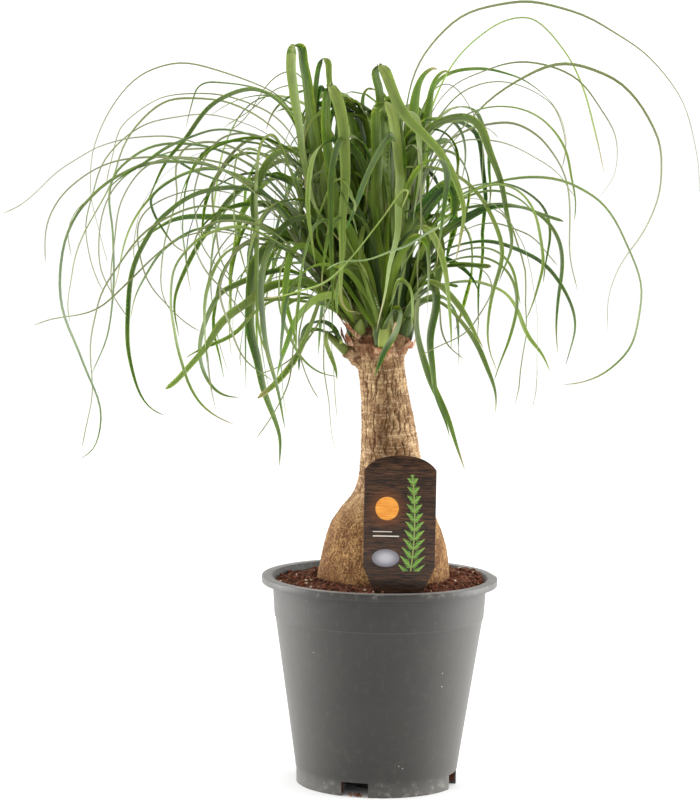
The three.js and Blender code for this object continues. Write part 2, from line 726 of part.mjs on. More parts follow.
function lowLeaves() {
  return LOW_LEAVES.map((row) => {
    const [x, y, z, tipX, tipY, tipZ, slopeIn, slopeOut, slopeTip, width, twist] = row;
    return {
      top: new THREE.Vector3(x, y, z),
      tip: new THREE.Vector3(tipX, tipY, tipZ),
      slopeIn,
      slopeOut,
      slopeTip,
      width,
      twist,
      blunt: false,
      riseSegments: FILL_RISE_SEGMENTS,
      fallSegments: FILL_FALL_SEGMENTS,
    };
  });
}

function makeLowShoot() {
  const blades = lowLeaves().map((leaf) => leafSolid(LOW_HEAD, leaf));
  return largestBody(joinAll([lowCore(0), ...blades]));
}

// Plant label

function labelBody(margin) {
  const half = LABEL.width / 2 + margin;
  const stakeHalf = LABEL.stakeWidth / 2 + margin;
  const base = LABEL.stakeTop;
  const outline = new THREE.Shape();
  outline.moveTo(0, LABEL.stakePoint - margin - base);
  outline.lineTo(stakeHalf, 0);
  outline.lineTo(half, LABEL.taperStart - base);
  outline.lineTo(half, LABEL.shoulder - base);
  outline.quadraticCurveTo(LABEL.archFullness * half, LABEL.top - base, 0, LABEL.top + margin - base);
  outline.quadraticCurveTo(-LABEL.archFullness * half, LABEL.top - base, -half, LABEL.shoulder - base);
  outline.lineTo(-half, LABEL.taperStart - base);
  outline.lineTo(-stakeHalf, 0);
  outline.closePath();
  const depth = LABEL.thickness + 2 * margin;
  const plate = new THREE.ExtrudeGeometry(outline, { depth, bevelEnabled: false, curveSegments: 8 });
  plate.translate(0, 0, -depth / 2);
  plate.rotateX(Math.PI / 2 - THREE.MathUtils.degToRad(LABEL.leanDeg));
  plate.translate(LABEL.centreX, LABEL.depthY, base);
  return solidOf(plate);
}

const palm = new THREE.Group();
addMesh(palm, 'pot', makePot(), COLOURS.pot);
addMesh(palm, 'soil', makeSoil(trunkBody(GAP), labelBody(GAP)), COLOURS.soil);
addMesh(palm, 'caudex_trunk', makeTrunk(), COLOURS.bark);
for (const name of Object.keys(HEADS)) {
  addMesh(palm, `shoot_${name}`, makeShoot(name), COLOURS.leaf);
}
addMesh(palm, 'shoot_low_left', makeLowShoot(), COLOURS.leaf);
addMesh(palm, 'plant_label', labelBody(0), COLOURS.label);

export default palm;
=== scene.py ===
import math

import bmesh
import bpy
import numpy as np
from mathutils import Matrix, Vector, noise


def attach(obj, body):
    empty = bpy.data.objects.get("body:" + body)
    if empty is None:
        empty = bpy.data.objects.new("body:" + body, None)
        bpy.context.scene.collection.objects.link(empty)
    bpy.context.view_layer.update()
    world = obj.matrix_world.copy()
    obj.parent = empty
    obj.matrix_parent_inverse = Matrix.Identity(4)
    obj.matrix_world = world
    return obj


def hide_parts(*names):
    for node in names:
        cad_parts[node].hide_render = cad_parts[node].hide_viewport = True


bl_info = {
    "name": "Potted Ponytail Palm",
    "version": (1, 0, 0),
    "blender": (4, 5, 0),
    "location": "3D View > Sidebar > Palm",
    "description": "Dresses a packed ponytail palm: fine leaves, bark, soil, pot, label and studio",
    "category": "Object",
}

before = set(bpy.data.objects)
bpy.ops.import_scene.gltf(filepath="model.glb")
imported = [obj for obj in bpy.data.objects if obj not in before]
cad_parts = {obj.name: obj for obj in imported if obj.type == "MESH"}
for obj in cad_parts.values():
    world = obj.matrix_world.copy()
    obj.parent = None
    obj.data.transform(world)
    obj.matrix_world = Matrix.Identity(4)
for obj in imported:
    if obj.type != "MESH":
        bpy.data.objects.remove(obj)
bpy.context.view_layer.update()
BODY = "root"
MM = 0.001
GAP = 0.3

# Pot
POT_HEIGHT = 150.4
RIM_RADIUS = 85.0
RIM_DROP = 4.8
RIM_THICKNESS = 1.6
MOUTH_RADIUS = 78.0
MOUTH_DROP = 4.0
WALL = 1.5
NECK_RADIUS = 77.4
LEDGE_HEIGHT = 121.0
LEDGE_STEP = 0.7
LEDGE_RADIUS = 74.9
FOOT_HEIGHT = 10.5
FOOT_TOP_RADIUS = 58.5
FOOT_RADIUS = 58.0
FOOT_INNER_RADIUS = 50.0
DISC_RADIUS = 26.0
FLOOR = 1.6
EDGE = 0.8
NOTCH_COUNT = 4
NOTCH_FIRST_DEG = -15.4
NOTCH_WIDTH = 20.0
NOTCH_DEPTH = 14.0
NOTCH_MIDDLE_RADIUS = 55.0
ROUNDING = 0.32
POT_SHARP_DEG = 40
DENT = {"angle": 14.0, "spread": 5.0, "depth": 1.1}

# Soil
SOIL_LEVEL = 145.6
SOIL_CROWN = 4.6
SOIL_CROWN_INNER = 46.0
SOIL_CROWN_OUTER = 72.0
SOIL_EDGE_DEPTH = 4.0
MOUND = {"x": 64.0, "y": 18.0, "height": 6.2, "spread": 15.0}
SOIL_RING_STEP = 1.5
SOIL_INNER_EDGE = 48.0
SOIL_SIDES = 220
SOCKET_HEIGHTS = (149, 138, 124, 115, 110)
TRUNK_FOOT_X = 2.7
TRUNK_FOOT_Z = 150.0
CRUMB_SEED = 31
CRUMB_BATCH = 100
CRUMBS_OUT_TO = 74.5
GRAINS_OUT_TO = 73.5
FALLEN_CRUMBS = 9

# Trunk: height, sideways centre and radius of each section
TRUNK_SECTIONS = [
    (110, 2.6, 17), (115, 2.6, 31), (124, 2.6, 41), (138, 2.7, 46.5), (150, 2.8, 47.5),
    (160.5, 3.2, 46.2), (172, 3.4, 44.3), (182.5, 3.6, 41.4), (190, 3.4, 38.2), (199, 4.7, 33.6),
    (209, 7, 28), (220, 7.7, 24.5), (234, 6.8, 22.2), (249, 5.3, 20.5), (263, 3.7, 19.1),
    (278, 1.8, 17.6), (293, -0.4, 17), (308, -2.4, 17), (319, -3.2, 17.8), (326, -3.2, 16.2),
]
CRACK_DEPTH_TRUNK = 1.0
CRACK_DEPTH_BASE = 0.5
PLATES = 13
RING_STEP = 8.0
CAP_SHARE = 0.035
CAP_RISE = 1.6
KNOT = {"x": -1.6, "z": 256.0, "tallness": 1.3, "radius": 7.5, "core": 2.0}

# Heads of leaves: the base of each one and the middle of its part of the crown in degrees from +X,
# and the middle of its fan and half the width of its part where they aren't the usual ones
CROWN_AXIS = (-3.0, 0.0)
HALF_SECTOR = math.radians(36)
BACK_HALF_SECTOR = math.radians(44)
HEADS = {
    "front": {"centre": 270, "base": (-1, -17, 321), "seed": 101},
    "right": {"centre": 342, "base": (13.5, -5.5, 327), "seed": 138},
    "back_right": {
        "centre": 54, "fan": 70, "half_sector": BACK_HALF_SECTOR, "base": (7, 14, 327), "seed": 175,
    },
    "back_left": {
        "centre": 126, "half_sector": BACK_HALF_SECTOR, "base": (-13, 14, 327), "seed": 212,
    },
    "left": {"centre": 198, "base": (-19.5, -5.5, 327), "seed": 249},
}
CORE_PROFILE = [(0, -6), (4.8, -6), (5.6, -0.5), (7, 6), (7.4, 14), (5.6, 28), (2.2, 42), (0, 44)]
KNOB_LEAN = 0.5
KNOB_RADIUS = 7.3
KNOB_FOOT_RADIUS = 9.0
KNOB_FOOT = 308.0
STUB_SIDES = 48
STUB_CAP_RINGS = 5
LOW_HEAD = {"centre": None, "base": (-27, -9, 314), "lean": (-0.72, -0.25, 0.65)}
LOW_STUB = {
    "start": (-12, -4, 303), "end": LOW_HEAD["base"], "start_radius": 6.2, "end_radius": 4.3,
}
OLD_CUT = {
    "start": (-8, -7, 306), "end": (-11.5, -13.5, 323), "start_radius": 8.5, "end_radius": 6.6,
    "hollow": 5.0,
}
LOW_CORE = {"radius": 4.0, "tip": 2.0, "length": 20.0, "sunk": 4.0}
CORE_SIDES = 36
LOW_CORE_SIDES = 24
# The cores' leaf marks: a dark tone and no pale foot, as painted shade on the bundles deep in their
# heads
SHADED_CORE_MARK = (0.2, 0.1, 3.0)

# Leaves
ROOT_OUTER = 5.5
ROOT_INNER = 1.5
ROOT_LOW = 4.0
ROOT_HIGH = 30.0
TALLEST_RISE = 240.0
FIRST_SLOPES = (52.0, 86.0)
SIDE_CLEARANCE = 1.2
SOFT_SHARE = 0.7
INNERMOST = 10.0
CROWD_START = 30.0
CROWD_DISTANCE = 7.0
CROWD_STEPS = 8
DRAWS_PER_LEAF = 14
VIEW_WIDTH = 700
VIEW_HEIGHT = 800
CURVE_STEPS = 8
EASINGS = 14
COURSE_SEGMENTS = 60
BEND_WEIGHT = 20.0
FOOT_TURN = 150.0
FOLD_TURN = 140.0
FOLD_SPAN = 0.016
LATE_TURN_PLACE = 0.35
LATE_TURN_SHARE = 0.12
PLAIN, BLUNT, FOLDED, PALE_AND_LIT, SHADED = range(5)
USUAL_TURNS = (62, 15)
# Tones of the kinds that set their own: the pale and lit kind is the palest green with painted
# light and sheen on both faces, the shaded kind dark green as painted shade
TONES = {FOLDED: 0.53, PALE_AND_LIT: 0.94, SHADED: 0.03}
THREAD_WIDTH = 2.3
THREAD_TONE = 1.3
THIN_WIDTH = 3.5
THIN_TONE = 1.12
GOLDEN = 0.618034

# Leaves that stand out in the crown. Each row gives a leaf's width, its depth at the top of its
# arch and at its tip, and its course from foot to tip in steps across and down a front view of 700
# by 800 steps. Where they aren't the usual ones, it also gives how far its upper face is turned
# away from the front at the top of the arch and at the tip in degrees, and its kind.
COURSES = {
    "front": [
        (7.8, -46, -112, (388, 300, 387, 200, 383, 130, 379, 90, 376, 69, 379, 64, 384, 69, 390, 84,
         397, 102, 406, 116, 420, 131, 437, 149, 450, 168, 459, 190, 464, 212, 461, 236, 455, 262),
         90, 12, FOLDED),
        (8.8, -64, -86, (383, 300, 378, 240, 377, 180, 377, 130, 379, 105, 384, 102, 391, 112, 396,
         130, 398, 160, 400, 185, 399, 210, 396, 238, 391, 262, 386, 287, 381, 310, 377, 332), 90,
         46, FOLDED),
        (8.2, -82, -96, (372, 310, 352, 260, 337, 210, 328, 150, 326, 105, 330, 84, 337, 98, 342,
         120, 345, 150, 345, 185, 343, 215, 342, 250, 341, 285, 342, 302, 348, 311, 357, 312), 90,
         12, FOLDED),
        (5, -84, -160, (378, 320, 362, 270, 345, 235, 330, 220, 318, 222, 309, 238, 303, 262, 299,
         290, 297, 315, 297, 345)),
        (6.5, -42, -58, (390, 318, 396, 307, 400, 310, 399, 320, 395, 335, 389, 346, 382, 357, 377,
         367, 373, 377)),
        (6.5, -74, -142, (384, 310, 388, 250, 392, 190, 393, 150, 391, 134, 386, 140, 376, 157, 367,
         175, 360, 195, 352, 215, 345, 232), 40, 12),
        (2.5, -84, -217, (386, 300, 393, 250, 402, 205, 408, 191, 404, 190, 395, 200, 384, 216, 370,
         234, 352, 257, 335, 275, 318, 286, 300, 291, 280, 296, 264, 299), 62, 15, PALE_AND_LIT),
        (2.5, -90, -207, (388, 300, 405, 260, 430, 228, 445, 216, 452, 214, 446, 221, 432, 231, 418,
         239, 405, 246, 393, 251, 380, 256, 362, 260, 345, 262, 333, 265, 324, 270), 62, 15,
         SHADED),
        (4.5, -50, -150, (366, 320, 340, 270, 320, 220, 311, 190, 314, 176, 322, 171, 331, 176, 340,
         190, 350, 210, 358, 235)),
        (5, -78, -182, (366, 320, 335, 270, 316, 240, 317, 218, 325, 198, 331, 184, 338, 179, 346,
         184, 352, 196, 356, 212)),
        (1.2, -30, -34, (383, 318, 378, 316, 376, 319, 384, 318, 392, 314, 400, 310, 410, 304, 420,
         297, 430, 290), 60, 20),
        (7.5, -52, -70, (380, 312, 366, 270, 354, 238, 344, 222, 334, 220, 326, 234), 150, 120),
        (7.5, -48, -66, (381, 312, 372, 262, 364, 226, 356, 208, 347, 204, 338, 214), 150, 120),
        (8, -44, -64, (383, 312, 380, 262, 376, 225, 371, 200, 364, 190, 356, 198), 150, 100),
        (8, -46, -70, (385, 312, 387, 262, 392, 222, 398, 200, 405, 194, 412, 206), 150, 100),
        (7, -56, -84, (387, 312, 394, 276, 404, 248, 414, 236, 424, 240, 430, 256), 150, 70),
        (7, -66, -84, (381, 314, 370, 282, 360, 264, 348, 262, 340, 276, 336, 298, 338, 316), 60,
         20),
        (6.5, -64, -78, (386, 314, 394, 290, 402, 280, 410, 286, 413, 304, 411, 326), 60, 20),
        (1.6, -40, -44, (352, 300, 342, 262, 337, 272, 337, 285, 340, 299, 346, 309, 354, 313, 362,
         312), 60, 20),
    ],
    "left": [
        (9.2, -40, -60, (340, 318, 330, 250, 320, 180, 312, 120, 304, 65, 299, 45, 294, 44, 291, 58,
         294, 92, 299, 125, 303, 155, 308, 180, 314, 204, 325, 222, 338, 239, 349, 252), 90, 48,
         FOLDED),
        (6, -28, -40, (340, 320, 330, 260, 318, 190, 314, 130, 315, 90, 320, 64, 323, 58, 327, 60,
         329, 75, 328, 95, 325, 108, 314, 119, 306, 132, 303, 150), 90, 12, FOLDED),
        (9, -20, -28, (338, 320, 330, 260, 318, 190, 317, 130, 318, 95, 321, 86, 325, 91, 327, 104),
         150, 135, SHADED),
        (4.2, -62, -84, (347, 325, 338, 308, 328, 285, 318, 262, 308, 230, 298, 190, 287, 160, 280,
         143, 272, 134, 263, 139, 258, 155, 256, 190, 257, 230, 257, 270, 256, 305, 261, 338, 268,
         358, 275, 375)),
        (5.2, -8, -10, (335, 318, 320, 220, 306, 150, 290, 108, 275, 95, 258, 88, 240, 84, 220, 83,
         205, 83, 197, 88, 193, 97, 190, 108, 188, 118, 187, 127), 48, 50),
        (5, -30, -60, (338, 318, 325, 230, 308, 160, 290, 112, 272, 96, 255, 89, 240, 90, 225, 96,
         212, 105, 200, 118, 190, 131, 183, 141, 174, 152, 165, 165, 155, 182, 146, 204), 40, 12),
        (4.6, -60, -104, (336, 318, 318, 240, 300, 185, 280, 153, 258, 137, 235, 130, 212, 130, 195,
         135, 178, 142, 165, 149, 150, 159, 135, 168, 120, 178, 110, 188), 60, 12),
        (3.5, -30, -48, (336, 318, 310, 240, 280, 195, 245, 170, 210, 160, 180, 157, 155, 157, 135,
         158, 115, 161, 95, 169, 75, 183, 62, 195, 54, 207, 48, 221, 45, 240, 45, 262)),
        (5.2, -88, -128, (336, 318, 310, 250, 280, 205, 240, 175, 205, 163, 175, 161, 150, 163, 130,
         169, 108, 182, 90, 198, 78, 211, 68, 232, 62, 255, 59, 280, 62, 305, 69, 330, 78, 350, 88,
         373, 97, 397, 101, 415, 100, 435, 93, 450, 80, 458), 76, 15, SHADED),
        (4.6, 6, 2, (336, 318, 312, 240, 280, 190, 245, 160, 205, 145, 170, 143, 145, 149, 128, 160,
         116, 172, 110, 188, 109, 205, 112, 225, 114, 250, 113, 290, 112, 312, 108, 333, 101, 352,
         96, 365, 92, 375), 74, 15, SHADED),
        (4, -12, -22, (336, 318, 310, 250, 280, 210, 245, 180, 215, 168, 193, 170, 175, 178, 160,
         188, 148, 200, 138, 212, 130, 228, 125, 243, 120, 262, 117, 276, 114, 290)),
        (3.8, -44, -52, (338, 318, 312, 255, 285, 215, 258, 185, 235, 172, 213, 169, 190, 172, 172,
         180, 158, 190, 151, 199, 153, 210, 160, 226, 168, 238, 176, 247, 187, 252)),
        (4.8, -50, -90, (338, 318, 315, 260, 290, 215, 262, 192, 235, 187, 215, 189, 198, 193, 183,
         200, 168, 212, 156, 224, 147, 238, 138, 254, 132, 272, 129, 295, 127, 325, 128, 345, 131,
         365, 137, 388, 145, 402, 155, 411, 164, 415), 40, 12),
        (5, 10, 12, (345, 315, 330, 230, 315, 185, 300, 164, 283, 160, 264, 170, 246, 184, 230, 199,
         217, 215, 205, 234, 195, 252, 186, 267, 180, 279, 176, 292, 175, 310, 178, 336), 40, 12),
        (6.8, -28, -78, (345, 318, 325, 296, 305, 284, 285, 283, 265, 289, 250, 299, 235, 311, 220,
         326, 206, 345, 193, 363, 184, 374, 175, 382, 165, 388), 40, 12, BLUNT),
        (3.5, -92, -100, (340, 318, 312, 270, 280, 235, 245, 221, 215, 222, 198, 232, 194, 245, 198,
         257, 206, 271, 216, 282, 228, 295, 238, 308, 247, 320)),
        (3.5, 22, 24, (340, 318, 310, 230, 275, 175, 240, 150, 205, 141, 185, 147, 177, 162, 176,
         180, 177, 195, 173, 212, 168, 230, 163, 250, 161, 265, 161, 282, 164, 297, 170, 311)),
        (4.6, -110, -118, (342, 318, 318, 280, 290, 250, 260, 232, 235, 226, 213, 231, 197, 240,
         185, 252, 177, 262, 172, 275, 171, 292, 171, 308, 174, 328, 177, 347, 183, 365, 190, 387,
         200, 404, 214, 415, 234, 424)),
        (3.4, -72, -88, (342, 318, 318, 278, 295, 250, 272, 240, 255, 239, 243, 244, 234, 252, 227,
         265, 222, 278, 220, 292, 223, 308, 229, 325, 237, 345, 246, 360, 257, 371, 272, 381)),
        (6.5, -24, -30, (345, 318, 325, 290, 305, 275, 285, 270, 265, 272, 248, 279, 235, 286, 222,
         292, 213, 303, 206, 318, 202, 335, 200, 352, 201, 366, 206, 379, 216, 390, 227, 395, 239,
         397)),
        (7, -52, -78, (345, 318, 335, 260, 325, 230, 310, 217, 296, 218, 282, 228, 271, 243, 264,
         262, 261, 290, 262, 318, 267, 348, 274, 378, 281, 403, 285, 428), 62, 15, SHADED),
        (8, -26, -56, (345, 318, 325, 270, 303, 240, 283, 236, 265, 248, 254, 268, 250, 295, 250,
         325, 256, 358, 264, 388, 274, 420, 281, 440, 280, 466), 40, 12, SHADED),
        (6.4, -18, -66, (350, 318, 352, 285, 347, 262, 340, 252, 333, 260, 327, 280, 320, 300, 312,
         320, 305, 340, 298, 356, 288, 368, 276, 382, 267, 392, 258, 399), 62, 15, BLUNT),
        (2.9, 20, 30, (340, 318, 318, 230, 296, 165, 278, 143, 262, 137, 248, 141, 235, 150, 225,
         161, 217, 176, 213, 192, 213, 210, 215, 225, 218, 243, 222, 262, 229, 276, 237, 290, 245,
         302), 40, 12),
        (3, -10, -20, (340, 318, 318, 230, 296, 165, 270, 140, 250, 134, 232, 134, 218, 140, 208,
         152, 201, 168, 196, 183, 193, 198, 195, 213, 199, 232, 203, 247, 210, 259, 222, 272, 235,
         285)),
        (3.8, 10, 10, (340, 318, 315, 240, 290, 185, 265, 155, 248, 147, 238, 154, 234, 172, 234,
         200, 235, 225, 238, 245, 243, 262, 249, 278)),
        (6.5, -15, -30, (340, 318, 318, 255, 300, 222, 280, 208, 258, 203, 242, 204, 228, 208, 216,
         214, 206, 222, 197, 235, 190, 248), 140, 110),
        (4.6, -40, -60, (345, 318, 325, 300, 300, 293, 280, 297, 262, 306, 250, 317, 240, 329, 230,
         336, 215, 343, 200, 350, 186, 358)),
        (6.5, -60, -80, (345, 318, 330, 275, 312, 250, 297, 246, 289, 258, 286, 275, 286, 300, 290,
         320, 295, 340, 298, 355), 140, 110),
        (3.8, -40, -50, (345, 318, 325, 280, 303, 258, 288, 256, 280, 270, 279, 290, 280, 308, 284,
         322, 289, 335)),
        (7, -50, -90, (348, 318, 342, 300, 330, 295, 318, 297, 305, 308, 295, 322, 288, 340, 282,
         355, 277, 378), 140, 120),
        (3.8, -60, -70, (345, 318, 320, 300, 298, 298, 284, 308, 284, 322, 290, 338, 297, 352, 306,
         362, 318, 371, 328, 375, 336, 377)),
        (3, -70, -90, (336, 318, 305, 250, 270, 200, 225, 170, 180, 160, 145, 164, 125, 175, 112,
         190, 104, 210, 99, 232, 98, 250, 101, 268, 108, 285, 116, 303, 128, 318)),
        (3.4, -100, -130, (336, 318, 305, 255, 270, 205, 225, 170, 185, 158, 160, 160, 143, 168,
         131, 182, 122, 200, 117, 218, 114, 240, 112, 265, 111, 300)),
        (2, -60, -100, (338, 318, 300, 270, 255, 240, 210, 230, 175, 240, 150, 260, 133, 278, 120,
         290, 110, 299, 100, 307, 85, 314, 65, 317, 50, 319, 34, 325)),
        (2.5, -90, -110, (338, 318, 300, 255, 250, 215, 200, 205, 160, 220, 130, 248, 112, 275, 101,
         295, 95, 315, 91, 335, 91, 360, 92, 385, 91, 405, 88, 422, 81, 448)),
        (1.8, -40, -40, (338, 318, 305, 250, 265, 205, 220, 190, 180, 192, 152, 205, 139, 222, 137,
         240, 140, 258, 146, 275, 155, 292, 168, 307, 180, 318, 200, 331)),
        (2, -20, -25, (340, 318, 318, 262, 295, 222, 272, 203, 258, 204, 252, 220, 250, 240, 249,
         262, 252, 284)),
        (1.5, -50, -60, (345, 318, 330, 285, 310, 275, 298, 295, 295, 330, 292, 360, 288, 385, 280,
         403, 272, 416, 262, 430, 256, 438)),
        (1.6, -70, -75, (345, 318, 332, 290, 318, 285, 308, 300, 300, 330, 299, 352, 303, 368, 310,
         384, 319, 398)),
        (2, -70, -80, (350, 318, 345, 290, 338, 285, 330, 300, 318, 325, 302, 348, 286, 362, 270,
         371, 257, 376)),
        (8, -20, -30, (345, 316, 330, 270, 318, 230, 306, 200, 292, 180, 276, 172, 262, 180), 140,
         90),
        (8.5, 0, 5, (345, 316, 334, 250, 326, 190, 318, 150, 306, 122, 290, 108, 276, 112), 150,
         110),
        (8, -34, -50, (345, 316, 328, 280, 312, 252, 296, 236, 280, 230, 264, 238), 145, 100),
        (7.5, -45, -60, (345, 318, 330, 300, 316, 286, 302, 280, 288, 284, 277, 298), 145, 100),
    ],
    "back_left": [
        (2.8, 60, 84, (335, 315, 318, 200, 300, 125, 280, 95, 255, 83, 232, 75, 205, 66, 185, 63,
         165, 65, 145, 72, 130, 84, 117, 99, 106, 116, 97, 138, 92, 155, 90, 175, 91, 195, 95, 215,
         101, 240, 108, 262), 62, 35),
        (3, 75, 110, (335, 315, 318, 210, 300, 145, 275, 115, 245, 101, 215, 94, 200, 93, 180, 94,
         160, 98, 145, 106, 133, 115, 122, 126, 117, 137, 113, 152, 109, 168, 107, 185)),
        (3.3, 96, 140, (335, 315, 315, 210, 295, 150, 265, 120, 235, 104, 210, 99, 180, 98, 165,
         102, 152, 110, 142, 119, 133, 130, 126, 142, 120, 155, 115, 172, 106, 195, 95, 213, 86,
         228, 80, 243, 74, 262, 70, 283, 68, 305, 70, 322)),
        (2.4, 75, 118, (335, 315, 312, 225, 285, 185, 255, 165, 225, 153, 200, 144, 175, 137, 150,
         136, 130, 138, 110, 143, 95, 148, 80, 157, 60, 170, 50, 178, 40, 188, 30, 198, 20, 206, 3,
         213)),
        (5.5, 50, 76, (338, 315, 318, 265, 298, 245, 280, 234, 262, 226, 245, 220, 225, 217, 205,
         216, 185, 218, 170, 221, 160, 226, 148, 235, 135, 246, 122, 258), 140, 100),
        (3.7, 84, 122, (338, 315, 318, 275, 290, 252, 265, 240, 245, 233, 225, 229, 205, 228, 190,
         231, 178, 238, 167, 247, 157, 258, 148, 270, 141, 283, 135, 300, 130, 318)),
        (3.8, 44, 58, (338, 315, 318, 262, 295, 243, 275, 234, 255, 233, 238, 240, 222, 252)),
        (2.7, 50, 74, (335, 315, 312, 240, 280, 190, 245, 160, 210, 148, 185, 149, 165, 154, 150,
         160, 130, 168, 112, 180, 100, 188, 90, 197, 78, 208, 71, 222, 68, 238, 70, 255)),
        (1.8, 60, 80, (335, 315, 318, 215, 295, 155, 262, 130, 230, 118, 200, 114, 180, 116, 160,
         120, 145, 125, 130, 133, 118, 143, 108, 156, 100, 170, 93, 190, 88, 212, 86, 235, 89, 258,
         96, 275, 104, 292)),
        (5, 30, 50, (338, 315, 322, 240, 300, 212, 275, 200, 250, 190, 225, 182, 200, 174, 185, 165,
         172, 158, 160, 155, 148, 160, 138, 170)),
        (2.2, 40, 44, (335, 315, 325, 200, 315, 120, 305, 80, 293, 71, 280, 74, 268, 84, 258, 98,
         250, 112, 240, 124, 228, 132)),
        (2.2, 60, 66, (335, 315, 330, 200, 322, 110, 308, 86, 293, 85, 280, 88, 268, 95, 252, 108,
         240, 117, 225, 128)),
        (8.5, 20, 26, (345, 315, 342, 240, 342, 180, 340, 130, 334, 98, 326, 88, 318, 96), 150, 140,
         SHADED),
        (8, 30, 40, (352, 315, 356, 240, 358, 190, 357, 150, 350, 116, 340, 100, 328, 98, 316, 106),
         150, 130, PALE_AND_LIT),
        (5, 24, 30, (350, 315, 350, 220, 346, 150, 336, 108, 320, 92, 302, 90, 286, 98, 274, 112,
         266, 130), 60, 30),
        (4.6, 44, 60, (345, 315, 335, 210, 318, 140, 298, 108, 276, 96, 250, 96, 228, 104, 210,
         116), 60, 30),
    ],
    "right": [
        (3.4, -4, -20, (398, 300, 402, 200, 404, 120, 411, 80, 425, 52, 450, 24, 480, 8, 515, 2,
         550, 4, 580, 14, 620, 35, 650, 58, 670, 80, 685, 107, 695, 140, 700, 192), 52, 44),
        (2.3, 12, 20, (398, 300, 410, 200, 425, 125, 440, 98, 458, 82, 478, 73, 500, 65, 525, 62,
         550, 65, 575, 78, 590, 92, 605, 115, 615, 135, 618, 155, 615, 175, 600, 196), 52, 50),
        (3.2, -20, -45, (398, 300, 408, 220, 430, 165, 450, 138, 465, 125, 482, 106, 500, 92, 520,
         79, 540, 69, 560, 64, 580, 65, 600, 72, 620, 83, 640, 103, 652, 125, 660, 145, 662, 165,
         660, 190, 650, 220, 640, 238, 630, 250, 620, 265, 612, 285, 607, 305, 608, 332), 50, 36),
        (2.8, -8, -14, (398, 300, 410, 200, 428, 135, 445, 108, 460, 93, 480, 84, 500, 81, 520, 85,
         540, 95, 552, 104, 560, 118, 566, 150, 562, 168)),
        (3.8, -30, -50, (398, 300, 412, 215, 435, 145, 452, 122, 468, 113, 485, 107, 503, 106, 522,
         109, 540, 117, 552, 128, 560, 140, 567, 155, 572, 175, 575, 195, 574, 220)),
        (3.4, 8, 10, (400, 300, 415, 215, 435, 152, 455, 136, 475, 127, 495, 123, 512, 123, 528,
         129, 542, 139, 552, 152, 560, 165, 567, 182, 570, 200, 569, 240, 571, 262, 577, 290)),
        (7, -30, -62, (396, 300, 402, 220, 416, 150, 432, 125, 448, 118, 462, 117, 475, 122, 485,
         137, 493, 158, 500, 182, 506, 205, 510, 225, 511, 245, 507, 262, 500, 282), 40, 12),
        (4, -50, -70, (400, 305, 418, 250, 438, 215, 458, 195, 480, 186, 505, 180, 535, 176, 560,
         180, 580, 188, 600, 200, 615, 220, 625, 240, 635, 262, 641, 285, 641, 305, 638, 325, 632,
         343, 620, 360, 605, 374, 590, 380, 564, 384), 62, 30),
        (3.8, -18, -30, (400, 305, 418, 250, 440, 205, 458, 190, 478, 184, 500, 183, 515, 186, 530,
         194, 543, 206, 549, 222, 550, 242, 546, 262, 543, 282)),
        (6, -45, -62, (402, 305, 420, 255, 440, 222, 455, 210, 475, 206, 500, 204, 518, 206, 535,
         211, 550, 217, 563, 222), 62, 15, BLUNT),
        (4.2, -72, -92, (402, 305, 418, 255, 440, 215, 462, 196, 485, 186, 503, 184, 516, 189, 526,
         198, 534, 211, 539, 227, 542, 247, 543, 264, 539, 283, 534, 302, 526, 319)),
        (4.6, -25, -42, (402, 305, 425, 255, 455, 225, 485, 209, 515, 206, 535, 211, 549, 223, 558,
         238, 562, 255, 562, 275, 558, 298, 556, 325, 558, 353)),
        (4.6, -40, -70, (404, 310, 418, 275, 435, 253, 455, 245, 480, 241, 500, 243, 520, 250, 540,
         261, 556, 277, 566, 292, 573, 310, 575, 328, 572, 345, 566, 365)),
        (4, -10, -18, (404, 310, 420, 278, 440, 260, 458, 251, 476, 247, 492, 249, 505, 258, 514,
         272, 518, 288, 520, 304)),
        (7.5, -30, -38, (404, 312, 415, 290, 428, 273, 442, 267, 458, 264, 475, 265, 491, 267), 62,
         15, BLUNT),
        (5, 2, 4, (405, 314, 420, 293, 440, 284, 460, 281, 478, 281, 493, 286, 505, 293, 515, 306,
         523, 322, 531, 340, 540, 353, 550, 371)),
        (7, -38, -58, (404, 315, 415, 293, 428, 281, 440, 284, 452, 297, 463, 313, 474, 330, 484,
         348)),
        (5, -10, -22, (405, 316, 420, 302, 435, 300, 450, 308, 463, 323, 474, 341, 485, 360, 492,
         378, 495, 395, 495, 412)),
        (3.7, -62, -78, (404, 310, 425, 275, 455, 258, 485, 257, 505, 268, 515, 285, 517, 303, 514,
         322, 508, 345, 500, 362, 494, 380)),
        (6.2, -20, -48, (390, 310, 393, 285, 398, 268, 410, 260, 423, 264, 432, 277, 436, 295, 434,
         318, 430, 345, 432, 370, 437, 395, 443, 415, 449, 437), 40, 12, SHADED),
        (6.4, -8, -40, (402, 310, 402, 285, 408, 265, 416, 259, 423, 266, 421, 285, 417, 305, 417,
         330, 421, 352, 428, 373, 440, 400, 450, 425, 458, 448, 465, 472)),
        (4.6, -25, -80, (392, 300, 385, 230, 382, 185, 390, 169, 410, 167, 430, 167, 448, 171, 463,
         179, 477, 193, 489, 210, 498, 230, 502, 250, 500, 270, 493, 292, 488, 315, 488, 338, 491,
         355, 497, 372)),
        (8, -40, -48, (404, 310, 412, 280, 428, 250, 445, 231, 462, 219, 480, 211, 497, 206, 512,
         205), 145, 110, SHADED),
        (13.5, -66, -80, (398, 300, 402, 255, 412, 225, 427, 205, 440, 191, 449, 185, 455, 192, 456,
         208, 450, 222, 440, 232), 148, 60, SHADED),
        (2.5, 10, 0, (398, 300, 405, 200, 418, 120, 432, 90, 447, 83, 460, 92, 470, 107, 478, 122,
         482, 142, 483, 165, 483, 182)),
        (1.5, -30, -60, (404, 310, 430, 275, 465, 262, 488, 275, 492, 290, 488, 303, 478, 317, 467,
         330, 452, 341, 438, 348, 422, 354)),
